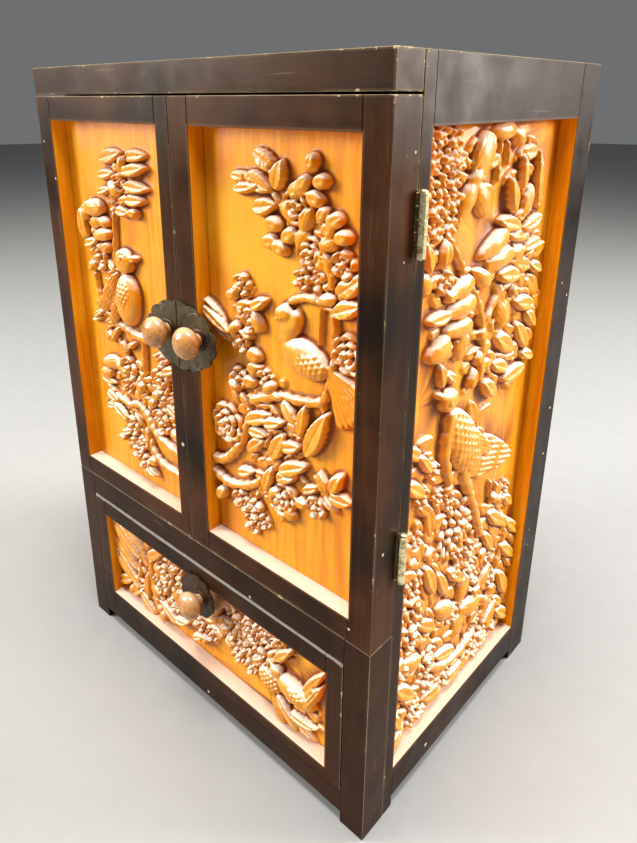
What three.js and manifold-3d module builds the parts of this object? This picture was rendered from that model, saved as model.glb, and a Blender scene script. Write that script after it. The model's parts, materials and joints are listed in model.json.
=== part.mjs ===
// A small free-standing key cabinet: lacquered frames and carved panels, two doors over one drawer.
// Millimetres, +Z up, the front faces -Y. The origin is on the floor under the middle of the whole object.
import * as THREE from "three";
import { mergeVertices } from "three/addons/utils/BufferGeometryUtils.js";
import Module from "manifold-3d";

const wasm = await Module();
wasm.setup();

// ---------------------------------------------------------------- driving dimensions
const WIDTH = 251; // over the two side frames, without the hinge knuckles
const DEPTH = 184; // front plane to back plane
const HEIGHT = 380;
const FIT = 0.2; // gap left at every glued or screwed joint
const FRONT = 17.4; // thickness of the doors, the drawer front and the face frame
const SIDE = 17; // thickness of the side frames
const RECESS = 9; // how far the carved ground lies behind the frame's face
const GROUND = 6; // thickness of a carved panel behind its ground
const RELIEF = 8; // height of the tallest carving above the ground
const BOARD = 8; // thickness of the inner boards
const FOOT = 7.6; // clear height under the rails
const DOOR_GAP = 0.7; // running gap round doors and drawer
const TOP_GAP = 1; // wider gap over the doors

// front elevation
const TOP_RAIL_Z = 365.8; // underside of the face frame's top rail
const SHELF_Z = [107.1, 122.2]; // face frame's middle rail, between drawer and doors
const SILL_Z = [FOOT, 20.9]; // face frame's bottom rail, under the drawer
const POST_X = 110.5; // inner side of the face frame's lower posts
const MEETING_X = -2.1; // where the two doors meet, a little left of the middle
const DOOR_PANEL_X = [12.3, 112]; // clear width of a door's panel, from the middle of the cabinet
const DOOR_PANEL_Z = [135.1, 351.9];
const DRAWER_PANEL_X = 99.1;
const DRAWER_PANEL_Z = [29.1, 93.4];

// side elevation
const SIDE_START = 18; // the side frames start behind the doors and the face frame
const SIDE_PANEL_Y = [25.5, 163.2];
const SIDE_PANEL_Z = [27.5, 353.7];

// inside
const BACK_Y = [177.2, 182.2]; // back panel, a little in from the back posts' faces
const TOP_BOARD_Z = HEIGHT - 10;
const FLOOR_Z = [SHELF_Z[0] + 3, SHELF_Z[0] + 3 + BOARD];
const BOTTOM_Z = [FOOT + 2, FOOT + 2 + BOARD];
const RUNNER = [11, 7.8]; // width and height of a drawer runner
const RUNNER_GAP = 0.3; // between a runner and the drawer's side
const DRAWER_WALL = 7;
const DRAWER_BOTTOM = 4;
const DRAWER_SIDE_PLAY = 4.8; // how far the drawer box is set in from the edges of its front
const DRAWER_DEPTH = 165; // back of the drawer box, from the front plane
const DRAWER_TOP = 98;
const STRIP = { width: 180, height: 14, thick: 1.6, hooks: 6, z: [310, 225] };
const HOOK = { reach: 16, rise: 9, wire: 1.8, bend: 3, width: 3 }; // bent up from the strip's own brass

// knobs and their plates
const PLATE_THICK = 1.5;
const PLATE_LIFT = 0.3;
const LOCK_PLATE = { x: -0.5, z: 248.5, halfWidth: 28, halfHeight: 18.5, scallops: 14 };
const DRAWER_PLATE = { x: 0, z: 84.5, halfWidth: 15, halfHeight: 14, scallops: 10 };
const KNOB_LENGTH = 13.6;
const KNOB_RADIUS = 8.4;
const KNOB_HALF_CAP = 5.6; // half the thickness of the bun-shaped cap
const KNOB_X = { right: 15, left: -10.2, drawer: 3.5 };
const KNOB_Z = 250.2;

// hinges
const HINGE_Z = [167, 318]; // middle heights
const HINGE = { length: 25, leaf: 10, thick: 0.9, barrel: 2.2, bore: 1.1, pin: 1, knuckles: 5, sides: 12 };
const AXIS_X = WIDTH / 2 + HINGE.barrel + FIT;
const AXIS_Y = FRONT + 0.3;

const KNOB_REACH = PLATE_LIFT + PLATE_THICK + FIT + KNOB_LENGTH;
const FRONT_Y = KNOB_REACH - (DEPTH + KNOB_REACH) / 2; // puts the origin under the middle of the whole depth

// ---------------------------------------------------------------- finishes
const finish = {
  lacquer: () => new THREE.MeshStandardMaterial({ color: 0x2a1a14, roughness: 0.35, metalness: 0 }),
  carving: () => new THREE.MeshStandardMaterial({ color: 0xdf9432, roughness: 0.4, metalness: 0 }),
  bare: () => new THREE.MeshStandardMaterial({ color: 0xc08a52, roughness: 0.7, metalness: 0 }),
  knob: () => new THREE.MeshStandardMaterial({ color: 0xc98a3c, roughness: 0.35, metalness: 0 }),
  plate: () => new THREE.MeshStandardMaterial({ color: 0x4a3a2a, roughness: 0.45, metalness: 0.6 }),
  brass: () => new THREE.MeshStandardMaterial({ color: 0xc9a94e, roughness: 0.35, metalness: 1 }),
};

// ---------------------------------------------------------------- solids
const cabinet = new THREE.Group();
cabinet.position.y = FRONT_Y;

function addMesh(parent, name, geometry, look) {
  const mesh = new THREE.Mesh(geometry, finish[look]());
  mesh.name = name;
  parent.add(mesh);
  return mesh;
}

function boxGeometry([x0, x1], [y0, y1], [z0, z1]) {
  const box = new THREE.BoxGeometry(x1 - x0, y1 - y0, z1 - z0);
  return box.translate((x0 + x1) / 2, (y0 + y1) / 2, (z0 + z1) / 2);
}

const addBox = (parent, name, look, x, y, z) => addMesh(parent, name, boxGeometry(x, y, z), look);

function solidOf(geometry) {
  const bare = geometry.clone();
  bare.deleteAttribute("normal");
  bare.deleteAttribute("uv");
  const merged = mergeVertices(bare, 1e-4);
  const vertProperties = merged.attributes.position.array;
  const triVerts = new Uint32Array(merged.index.array);
  return new wasm.Manifold(new wasm.Mesh({ numProp: 3, vertProperties, triVerts }));
}

function geometryOf(solid) {
  const { vertProperties, triVerts } = solid.getMesh();
  const geometry = new THREE.BufferGeometry();
  geometry.setAttribute("position", new THREE.BufferAttribute(vertProperties, 3));
  geometry.setIndex(new THREE.BufferAttribute(triVerts, 1));
  geometry.computeVertexNormals();
  return geometry;
}

const join = (solids) => solids.reduce((whole, next) => whole.add(next));

// ---------------------------------------------------------------- carved panels
// A panel lies in X (from its left edge) and Z (from its lower edge), its ground is the plane Y = 0,
// and the carving stands out of it towards -Y.
function dome(u, v, halfLength, halfWidth, height, degrees, sides) {
  const shape = new THREE.SphereGeometry(1, sides, 4);
  shape.scale(halfLength, height, halfWidth);
  shape.rotateY(THREE.MathUtils.degToRad(-degrees));
  return solidOf(shape.translate(u, 0, v));
}

const blossom = ([u, v, radius]) => dome(u, v, radius, radius, Math.min(RELIEF, radius * 0.85), 0, 6);
const leaf = ([u, v, length, degrees]) => dome(u, v, length / 2, length / 5, RELIEF * 0.75, degrees, 5);
const birdPart = ([u, v, halfLength, halfWidth, degrees]) =>
  dome(u, v, halfLength, halfWidth, RELIEF, degrees, 8);

function branch(points, radius = 2.6) {
  const solids = [];
  for (let i = 1; i < points.length; i += 1) {
    const [from, to] = [points[i - 1], points[i]];
    const [du, dv] = [to[0] - from[0], to[1] - from[1]];
    const rod = new THREE.CylinderGeometry(radius, radius, Math.hypot(du, dv) + radius, 6);
    rod.rotateX(Math.PI / 2);
    rod.rotateY(Math.atan2(du, dv));
    rod.translate((from[0] + to[0]) / 2, -radius * 0.6, (from[1] + to[1]) / 2);
    solids.push(solidOf(rod));
  }
  return join(solids);
}

function carvedPanel(width, height, { blossoms, leaves, birds, branches }) {
  const inset = FIT;
  const board = solidOf(boxGeometry([inset, width - inset], [0, GROUND], [inset, height - inset]));
  const envelope = solidOf(
    boxGeometry([inset, width - inset], [-RELIEF, GROUND], [inset, height - inset]),
  );
  const forms = [
    ...blossoms.map(blossom),
    ...leaves.map(leaf),
    ...birds.map(birdPart),
    ...branches.map((points) => branch(points)),
  ];
  return geometryOf(join([board, ...forms]).intersect(envelope));
}

// Blossoms are [across, up, radius], leaves [across, up, length, degrees from level], parts of birds
// [across, up, half length, half width, degrees from level], and a branch is the points it passes.
const LEFT_DOOR_CARVING = {
  blossoms: [
    [53, 176, 9], [24, 140, 8], [34, 138, 6], [83, 74, 11], [83, 91, 5], [51, 70, 8],
    [78, 47, 8], [51, 36, 7], [47, 22, 6], [59, 17, 6], [72, 19, 5],
  ],
  leaves: [
    [57, 197, 30, 5], [72, 195, 20, -10], [43, 188, 22, 10], [70, 184, 22, 5], [70, 174, 20, 10],
    [24, 167, 26, 15], [13, 154, 24, 80], [28, 157, 22, 30], [19, 103, 16, 20], [30, 72, 28, 20],
    [43, 61, 14, 20], [43, 44, 22, 10], [17, 57, 14, 10],
  ],
  birds: [[55, 144, 8, 8, 0], [53, 120, 19, 12, 80], [34, 121, 13, 6, 45]],
  branches: [
    [[47, 169], [42, 138]],
    [[19, 127], [28, 108], [40, 102], [70, 99]],
    [[64, 93], [62, 70]],
    [[17, 68], [28, 59], [40, 53], [55, 53], [66, 44], [78, 35], [93, 31]],
    [[66, 32], [76, 21], [93, 19]],
  ],
};

const RIGHT_DOOR_CARVING = {
  blossoms: [
    [60, 186, 8], [69, 203, 5], [75, 198, 5], [73, 190, 5], [83, 182, 5], [86, 176, 5], [81, 171, 6],
    [48, 176, 5], [46, 169, 5], [54, 171, 5], [64, 154, 6], [73, 156, 5], [90, 127, 8], [26, 144, 7],
    [20, 129, 6], [33, 125, 7], [33, 110, 5], [24, 95, 6], [12, 70, 11], [50, 42, 10], [69, 44, 5],
    [22, 21, 6], [29, 15, 6], [35, 24, 6],
  ],
  leaves: [
    [48, 195, 26, 60], [29, 192, 24, 5], [41, 182, 22, 10], [77, 159, 24, 85], [90, 156, 20, 40],
    [90, 146, 18, 10], [29, 135, 20, 15], [12, 122, 24, -25], [74, 83, 28, 65], [50, 66, 26, 60],
    [58, 59, 28, 30], [37, 80, 20, 25], [31, 61, 18, 30], [84, 63, 14, 45], [86, 55, 16, 5],
    [69, 51, 16, 25],
  ],
  birds: [[56, 140, 9, 6, 30], [64, 116, 17, 15, -20], [89, 106, 12, 9, 60]],
  branches: [
    [[46, 190], [56, 180], [68, 165], [81, 146], [84, 131], [81, 112], [73, 100], [56, 97], [29, 89]],
    [[3, 45], [14, 47], [24, 59], [27, 76]],
    [[3, 36], [18, 34], [33, 40], [45, 53]],
  ],
};

const DRAWER_CARVING = {
  blossoms: [
    [57, 39, 12], [65, 51, 8], [51, 28, 8], [72, 35, 7], [95, 20, 6], [114, 34, 8], [126, 37, 7],
    [145, 45, 10], [154, 54, 8], [133, 26, 7],
  ],
  leaves: [
    [14, 49, 36, -38], [14, 31, 36, -38], [27, 47, 34, -50], [36, 33, 38, 85], [16, 13, 32, 60],
    [48, 51, 26, 35], [156, 37, 24, 50], [133, 51, 26, 20],
  ],
  birds: [[169, 28, 17, 8, -10], [186, 40, 12, 4, 55], [156, 15, 12, 9, -50]],
  branches: [[[66, 28], [91, 24], [114, 34], [137, 43]]],
};

const SIDE_CARVING = {
  blossoms: [
    [12, 318, 8], [28, 320, 8], [16, 305, 8], [30, 307, 7], [20, 293, 7], [50, 303, 9], [24, 258, 7],
    [26, 229, 10], [12, 163, 7], [58, 121, 17], [31, 60, 12], [58, 56, 10], [88, 64, 12], [31, 12, 10],
  ],
  leaves: [
    [71, 321, 26, 0], [96, 303, 30, 70], [108, 301, 32, 75], [87, 288, 26, 80], [80, 277, 36, 0],
    [111, 276, 28, -10], [79, 261, 34, 20], [112, 258, 30, -10], [43, 248, 34, 10], [46, 236, 32, 0],
    [47, 222, 28, 70], [34, 212, 20, 110], [85, 231, 26, -50], [112, 230, 30, -15], [97, 214, 28, -10],
    [108, 198, 28, -10], [13, 179, 22, -38], [24, 92, 28, -50], [40, 83, 30, -50], [17, 77, 26, -35],
    [60, 76, 36, -35], [86, 84, 30, -35], [108, 98, 28, -30], [70, 42, 30, -20], [47, 29, 34, -30],
    [15, 38, 28, -45], [70, 17, 34, -20], [98, 33, 26, 50], [112, 22, 30, -35], [120, 68, 34, -35],
  ],
  birds: [[41, 197, 9, 8, 0], [63, 165, 32, 14, -50], [86, 153, 28, 11, -35], [101, 124, 24, 6, -50]],
  branches: [
    [[31, 276], [50, 254], [73, 224], [68, 205]],
    [[12, 67], [39, 52], [69, 29], [96, 18]],
    [[96, 18], [107, 45], [119, 67]],
  ],
};

// ---------------------------------------------------------------- hinges
const hingeSpan = (z) => [z - HINGE.length / 2, z + HINGE.length / 2];
const LEAF_X = [WIDTH / 2 - HINGE.leaf, WIDTH / 2 + FIT / 2];

// The pocket that lets one leaf into a wooden edge, open at the side face.
function mortises(y) {
  const x = [LEAF_X[0] - FIT, WIDTH / 2 + 1];
  const pockets = HINGE_Z.map((z) => {
    const [low, high] = hingeSpan(z);
    return solidOf(boxGeometry(x, y, [low - FIT, high + FIT]));
  });
  return join(pockets);
}

// One leaf with its share of the knuckles; even knuckles belong to the case, odd ones to the door.
function hingeLeaf(z, y, firstKnuckle) {
  const [low, high] = hingeSpan(z);
  const pitch = HINGE.length / HINGE.knuckles;
  const solids = [solidOf(boxGeometry(LEAF_X, y, [low, high]))];
  for (let k = firstKnuckle; k < HINGE.knuckles; k += 2) {
    const span = [low + k * pitch + (k ? 0.1 : 0), low + (k + 1) * pitch - 0.1];
    const barrel = new THREE.CylinderGeometry(HINGE.barrel, HINGE.barrel, span[1] - span[0], HINGE.sides);
    barrel.rotateX(Math.PI / 2);
    barrel.translate(AXIS_X, AXIS_Y, (span[0] + span[1]) / 2);
    solids.push(solidOf(barrel));
    solids.push(solidOf(boxGeometry([LEAF_X[0], AXIS_X], y, span)));
  }
  const bore = new THREE.CylinderGeometry(HINGE.bore, HINGE.bore, HINGE.length + 2, HINGE.sides);
  bore.rotateX(Math.PI / 2);
  return geometryOf(join(solids).subtract(solidOf(bore.translate(AXIS_X, AXIS_Y, z))));
}

// The pin has a low round head on top of the knuckles.
function hingePin(z) {
  const [low, high] = hingeSpan(z);
  const outline = [
    [0, low - 0.6], [HINGE.pin, low - 0.6], [HINGE.pin, high + 0.2], [1.9, high + 0.2],
    [1.6, high + 0.9], [0.8, high + 1.3], [0, high + 1.4],
  ];
  const pin = new THREE.LatheGeometry(outline.map(([r, h]) => new THREE.Vector2(r, h)), 12);
  pin.rotateX(Math.PI / 2);
  return pin.translate(AXIS_X, AXIS_Y, 0);
}

// ---------------------------------------------------------------- knobs and plates
// A turned wooden pull: a short waisted neck with a bead, under a bun-shaped cap.
function knobGeometry(x, z) {
  const middle = KNOB_LENGTH - KNOB_HALF_CAP;
  const outline = [[0, 0], [3.6, 0], [3.2, 1], [4.3, 2], [4.5, 2.8]];
  for (let degrees = -54; degrees < 90; degrees += 18) {
    const angle = THREE.MathUtils.degToRad(degrees);
    outline.push([KNOB_RADIUS * Math.cos(angle), middle + KNOB_HALF_CAP * Math.sin(angle)]);
  }
  outline.push([0, KNOB_LENGTH]);
  const knob = new THREE.LatheGeometry(outline.map(([r, h]) => new THREE.Vector2(r, h)), 18);
  knob.rotateX(Math.PI); // the turning axis now points to the front
  return knob.translate(x, -(PLATE_LIFT + PLATE_THICK + FIT), z);
}

// A point on the scalloped rim of an oval plate.
function platePoint({ x, z, halfWidth, halfHeight, scallops }, angle) {
  const lobe = Math.abs(Math.sin((angle * scallops) / 2));
  const swell = 0.93 + 0.07 * Math.sqrt(lobe);
  const across = x + halfWidth * swell * Math.cos(angle);
  return new THREE.Vector2(across, z + halfHeight * swell * Math.sin(angle));
}

// The part of a plate that lies between two positions across the front.
function plateGeometry(plate, lowX, highX) {
  const steps = plate.scallops * 6;
  const points = [];
  for (let i = 0; i < steps; i += 1) {
    const point = platePoint(plate, (i / steps) * 2 * Math.PI);
    point.x = THREE.MathUtils.clamp(point.x, lowX, highX);
    const last = points.at(-1);
    if (!last || last.distanceTo(point) > 0.05) points.push(point);
  }
  const outline = new THREE.Shape(dropStraight(points));
  const sheet = new THREE.ExtrudeGeometry(outline, { depth: PLATE_THICK, bevelEnabled: false });
  sheet.rotateX(Math.PI / 2);
  return sheet.translate(0, -PLATE_LIFT, 0);
}

// Leaves out the points in the middle of a straight cut edge.
function dropStraight(points) {
  return points.filter((point, i) => {
    const before = points.at(i - 1);
    const after = points[(i + 1) % points.length];
    const onCut = Math.abs(before.x - point.x) < 1e-6 && Math.abs(after.x - point.x) < 1e-6;
    return !onCut;
  });
}

// ---------------------------------------------------------------- the case
function buildFaceFrame() {
  const y = [0, FRONT];
  addBox(cabinet, "front_top_rail", "lacquer", [-WIDTH / 2, WIDTH / 2], y, [TOP_RAIL_Z, HEIGHT]);
  const between = [-POST_X + FIT, POST_X - FIT];
  addBox(cabinet, "front_middle_rail", "lacquer", between, y, SHELF_Z);
  addBox(cabinet, "front_bottom_rail", "lacquer", between, y, SILL_Z);
  addBox(cabinet, "front_post_right", "lacquer", [POST_X, WIDTH / 2], y, [0, SHELF_Z[1]]);
  addBox(cabinet, "front_post_left", "lacquer", [-WIDTH / 2, -POST_X], y, [0, SHELF_Z[1]]);
}

// The right side frame; the left one is its mirror image.
function buildSideFrame(side, sign) {
  const group = new THREE.Group();
  group.scale.x = sign;
  cabinet.add(group);
  const x = [WIDTH / 2 - SIDE, WIDTH / 2];
  const between = [SIDE_PANEL_Y[0] + FIT, SIDE_PANEL_Y[1] - FIT];
  const stile = solidOf(boxGeometry(x, [SIDE_START, SIDE_PANEL_Y[0]], [0, HEIGHT]));
  const pockets = mortises([SIDE_START - 1, SIDE_START + HINGE.thick + FIT]);
  addMesh(group, `side_${side}_front_stile`, geometryOf(stile.subtract(pockets)), "lacquer");
  addBox(group, `side_${side}_back_post`, "lacquer", x, [SIDE_PANEL_Y[1], DEPTH], [0, HEIGHT]);
  addBox(group, `side_${side}_top_rail`, "lacquer", x, between, [SIDE_PANEL_Z[1], HEIGHT]);
  addBox(group, `side_${side}_bottom_rail`, "lacquer", x, between, [FOOT, SIDE_PANEL_Z[0]]);
  const [width, height] = [SIDE_PANEL_Y[1] - SIDE_PANEL_Y[0], SIDE_PANEL_Z[1] - SIDE_PANEL_Z[0]];
  const panel = addMesh(group, `side_${side}_panel`, carvedPanel(width, height, SIDE_CARVING), "carving");
  panel.rotation.z = Math.PI / 2;
  panel.position.set(WIDTH / 2 - RECESS, SIDE_PANEL_Y[0], SIDE_PANEL_Z[0]);
}

function buildInside() {
  const x = [-WIDTH / 2 + SIDE + FIT, WIDTH / 2 - SIDE - FIT];
  const y = [SIDE_START, BACK_Y[0] - FIT];
  addBox(cabinet, "top_board", "lacquer", x, y, [TOP_BOARD_Z, HEIGHT]);
  addBox(cabinet, "compartment_floor", "bare", x, y, FLOOR_Z);
  addBox(cabinet, "bottom_board", "bare", x, y, BOTTOM_Z);
  addBox(cabinet, "back_panel", "bare", x, BACK_Y, [FOOT, HEIGHT - 1]);
  const runnerZ = [BOTTOM_Z[1] + FIT, BOTTOM_Z[1] + FIT + RUNNER[1]];
  addBox(cabinet, "drawer_runner_right", "bare", [x[1] - RUNNER[0], x[1]], y, runnerZ);
  addBox(cabinet, "drawer_runner_left", "bare", [x[0], x[0] + RUNNER[0]], y, runnerZ);
}

// A brass strip screwed to the back panel, with a row of bent hooks cut from the same sheet.
function hookStrip(z) {
  const faceY = BACK_Y[0] - FIT - STRIP.thick;
  const strip = boxGeometry(
    [-STRIP.width / 2, STRIP.width / 2],
    [faceY, faceY + STRIP.thick],
    [z - STRIP.height / 2, z + STRIP.height / 2],
  );
  const solids = [solidOf(strip)];
  const profile = hookProfile();
  const pitch = STRIP.width / STRIP.hooks;
  for (let i = 0; i < STRIP.hooks; i += 1) {
    const settings = { depth: HOOK.width, bevelEnabled: false, curveSegments: 2 };
    const hook = new THREE.ExtrudeGeometry(profile, settings);
    hook.rotateX(Math.PI / 2);
    hook.rotateZ(-Math.PI / 2);
    const middle = -STRIP.width / 2 + (i + 0.5) * pitch;
    hook.translate(middle - HOOK.width / 2, faceY, z - STRIP.height / 2 + 2);
    solids.push(solidOf(hook));
  }
  return geometryOf(join(solids));
}

// A hook seen from the side: out from the strip, round a bend and up. Its root is sunk into the strip.
function hookProfile() {
  const { reach, rise, wire, bend } = HOOK;
  const root = -0.5;
  const profile = new THREE.Shape();
  profile.moveTo(root, 0);
  profile.lineTo(reach - bend, 0);
  profile.absarc(reach - bend, bend, bend, -Math.PI / 2, 0, false);
  profile.lineTo(reach, rise);
  profile.lineTo(reach - wire, rise);
  profile.lineTo(reach - wire, bend);
  profile.absarc(reach - bend, bend, bend - wire, 0, -Math.PI / 2, true);
  profile.lineTo(root, wire);
  return profile;
}

// ---------------------------------------------------------------- doors
// Built as the right door and mirrored for the left one; only the carving is never mirrored.
// innerEdge is where the door stops at the meeting line, on its own side of the middle.
function buildDoor(side, sign, innerEdge, carving) {
  const group = new THREE.Group();
  group.scale.x = sign;
  cabinet.add(group);
  const y = [0, FRONT];
  const z = [SHELF_Z[1] + DOOR_GAP, TOP_RAIL_Z - TOP_GAP];
  const between = [DOOR_PANEL_X[0] + FIT, DOOR_PANEL_X[1] - FIT];
  const stile = solidOf(boxGeometry([DOOR_PANEL_X[1], WIDTH / 2], y, z));
  const pockets = mortises([FRONT - HINGE.thick - FIT, FRONT + 1]);
  addMesh(group, `door_${side}_outer_stile`, geometryOf(stile.subtract(pockets)), "lacquer");
  addBox(group, `door_${side}_inner_stile`, "lacquer", [innerEdge, DOOR_PANEL_X[0]], y, z);
  addBox(group, `door_${side}_top_rail`, "lacquer", between, y, [DOOR_PANEL_Z[1], z[1]]);
  addBox(group, `door_${side}_bottom_rail`, "lacquer", between, y, [z[0], DOOR_PANEL_Z[0]]);
  const [width, height] = [DOOR_PANEL_X[1] - DOOR_PANEL_X[0], DOOR_PANEL_Z[1] - DOOR_PANEL_Z[0]];
  const panel = addMesh(cabinet, `door_${side}_panel`, carvedPanel(width, height, carving), "carving");
  panel.position.set(sign > 0 ? DOOR_PANEL_X[0] : -DOOR_PANEL_X[1], RECESS, DOOR_PANEL_Z[0]);
  HINGE_Z.forEach((middle, i) => {
    const place = `${side}_${i ? "upper" : "lower"}`;
    const caseLeafY = [SIDE_START, SIDE_START + HINGE.thick];
    const doorLeafY = [FRONT - HINGE.thick, FRONT];
    addMesh(group, `hinge_${place}_case_leaf`, hingeLeaf(middle, caseLeafY, 0), "brass");
    addMesh(group, `hinge_${place}_door_leaf`, hingeLeaf(middle, doorLeafY, 1), "brass");
    addMesh(group, `hinge_${place}_pin`, hingePin(middle), "brass");
  });
}

function buildLockPlatesAndKnobs() {
  const left = plateGeometry(LOCK_PLATE, -WIDTH, MEETING_X - DOOR_GAP / 2);
  const right = plateGeometry(LOCK_PLATE, MEETING_X + DOOR_GAP / 2, WIDTH);
  addMesh(cabinet, "door_left_lock_plate", left, "plate");
  addMesh(cabinet, "door_right_lock_plate", right, "plate");
  addMesh(cabinet, "door_left_knob", knobGeometry(KNOB_X.left, KNOB_Z), "knob");
  addMesh(cabinet, "door_right_knob", knobGeometry(KNOB_X.right, KNOB_Z), "knob");
}

// ---------------------------------------------------------------- drawer
function buildDrawer() {
  const y = [0, FRONT];
  const edgeX = POST_X - DOOR_GAP;
  const z = [SILL_Z[1] + DOOR_GAP, SHELF_Z[0] - DOOR_GAP];
  addBox(cabinet, "drawer_front_stile_right", "lacquer", [DRAWER_PANEL_X, edgeX], y, z);
  addBox(cabinet, "drawer_front_stile_left", "lacquer", [-edgeX, -DRAWER_PANEL_X], y, z);
  const between = [-DRAWER_PANEL_X + FIT, DRAWER_PANEL_X - FIT];
  addBox(cabinet, "drawer_front_top_rail", "lacquer", between, y, [DRAWER_PANEL_Z[1], z[1]]);
  addBox(cabinet, "drawer_front_bottom_rail", "lacquer", between, y, [z[0], DRAWER_PANEL_Z[0]]);
  const [width, height] = [2 * DRAWER_PANEL_X, DRAWER_PANEL_Z[1] - DRAWER_PANEL_Z[0]];
  const panel = addMesh(cabinet, "drawer_panel", carvedPanel(width, height, DRAWER_CARVING), "carving");
  panel.position.set(-DRAWER_PANEL_X, RECESS, DRAWER_PANEL_Z[0]);

  const wallOut = edgeX - DRAWER_SIDE_PLAY;
  const wallIn = wallOut - DRAWER_WALL;
  const low = BOTTOM_Z[1] + FIT + RUNNER[1] + RUNNER_GAP;
  const boxY = [FRONT + FIT, DRAWER_DEPTH];
  const boxZ = [low, DRAWER_TOP];
  addBox(cabinet, "drawer_side_right", "bare", [wallIn, wallOut], boxY, boxZ);
  addBox(cabinet, "drawer_side_left", "bare", [-wallOut, -wallIn], boxY, boxZ);
  const inner = [-wallIn + FIT, wallIn - FIT];
  addBox(cabinet, "drawer_bottom", "bare", inner, boxY, [low, low + DRAWER_BOTTOM]);
  const backY = [DRAWER_DEPTH - DRAWER_WALL, DRAWER_DEPTH];
  const backZ = [low + DRAWER_BOTTOM + FIT, DRAWER_TOP];
  addBox(cabinet, "drawer_back", "bare", inner, backY, backZ);

  addMesh(cabinet, "drawer_knob_plate", plateGeometry(DRAWER_PLATE, -WIDTH, WIDTH), "plate");
  addMesh(cabinet, "drawer_knob", knobGeometry(KNOB_X.drawer, DRAWER_PLATE.z), "knob");
}

buildFaceFrame();
buildSideFrame("right", 1);
buildSideFrame("left", -1);
buildInside();
addMesh(cabinet, "key_hook_strip_upper", hookStrip(STRIP.z[0]), "brass");
addMesh(cabinet, "key_hook_strip_lower", hookStrip(STRIP.z[1]), "brass");
buildDoor("right", 1, MEETING_X + DOOR_GAP / 2, RIGHT_DOOR_CARVING);
buildDoor("left", -1, -MEETING_X + DOOR_GAP / 2, LEFT_DOOR_CARVING);
buildLockPlatesAndKnobs();
buildDrawer();

const object = new THREE.Group();
object.add(cabinet);

export default object;
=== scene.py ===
"""A small carved key cabinet: lacquered frames, carved camphor panels, two doors over a drawer.
Metres, +Z up, the front faces -Y. Lengths in the carving functions are millimetres."""
import json
import math

import bmesh
import bpy
import numpy as np
from mathutils import Matrix, Vector


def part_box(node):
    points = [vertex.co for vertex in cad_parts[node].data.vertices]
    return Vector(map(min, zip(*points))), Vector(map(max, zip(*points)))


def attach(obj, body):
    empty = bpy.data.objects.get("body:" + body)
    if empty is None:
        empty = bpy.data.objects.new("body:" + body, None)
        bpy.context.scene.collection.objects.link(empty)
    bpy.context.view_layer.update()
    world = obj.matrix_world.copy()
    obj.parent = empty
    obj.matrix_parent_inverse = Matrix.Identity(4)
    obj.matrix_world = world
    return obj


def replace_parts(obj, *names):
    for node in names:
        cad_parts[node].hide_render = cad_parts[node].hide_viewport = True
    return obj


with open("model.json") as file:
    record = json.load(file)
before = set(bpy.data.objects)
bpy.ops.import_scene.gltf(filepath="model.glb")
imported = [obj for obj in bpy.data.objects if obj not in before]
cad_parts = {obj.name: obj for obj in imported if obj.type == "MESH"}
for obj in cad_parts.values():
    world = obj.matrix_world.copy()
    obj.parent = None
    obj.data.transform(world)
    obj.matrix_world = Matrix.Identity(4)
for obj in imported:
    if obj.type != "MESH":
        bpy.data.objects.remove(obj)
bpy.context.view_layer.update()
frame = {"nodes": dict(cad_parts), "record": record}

MM = 0.001
NODES = frame["nodes"]


# ---------------------------------------------------------------- places taken from the frame
def node_box(name):
    low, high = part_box(name)
    return np.array(low), np.array(high)


FRONT_Y = node_box("front_top_rail")[0][1]
SIDE_X = node_box("front_top_rail")[1][0]
RECESS = 9 * MM  # from the frame's face back to the carved panels' ground


# ---------------------------------------------------------------- camera, floor and light
def make_camera():
    """The camera stands to the right of the front, a little over the top's height."""
    data = bpy.data.cameras.new("camera")
    data.lens = 28.59
    data.sensor_width = 36
    data.shift_x = 0.0262
    data.shift_y = -0.1033
    data.clip_start = 0.01
    camera = bpy.data.objects.new("camera", data)
    right = Vector((0.73339, 0.67980, -0.00177)).normalized()
    back = Vector((0.64150, -0.69121, 0.33272)).normalized()
    up = back.cross(right).normalized()
    axes = Matrix((right, up, back)).transposed().to_4x4()
    place = Vector((0.26427, FRONT_Y - 0.19879, 0.36359))
    camera.matrix_world = Matrix.Translation(place) @ axes
    bpy.context.scene.collection.objects.link(camera)
    bpy.context.scene.camera = camera


def make_floor():
    bm = bmesh.new()
    bmesh.ops.create_circle(bm, cap_ends=True, segments=96, radius=6)
    mesh = bpy.data.meshes.new("floor")
    bm.to_mesh(mesh)
    bm.free()
    floor = bpy.data.objects.new("floor", mesh)
    bpy.context.scene.collection.objects.link(floor)
    paint = Paint("floor_paper")
    grain = paint.noise(paint.position(), scale=60, detail=3)
    colour = paint.mix(grain, (0.29, 0.29, 0.285), (0.32, 0.32, 0.315))
    paint.finish(colour, roughness=0.9, specular=0.2)
    floor.data.materials.append(paint.material)


def add_area(name, place, target, size, power, colour=(1, 1, 1)):
    data = bpy.data.lights.new(name, "AREA")
    data.shape = "DISK"
    data.size = size
    data.energy = power
    data.color = colour
    light = bpy.data.objects.new(name, data)
    direction = Vector(target) - Vector(place)
    light.rotation_euler = direction.to_track_quat("-Z", "Y").to_euler()
    light.location = place
    bpy.context.scene.collection.objects.link(light)


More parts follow.
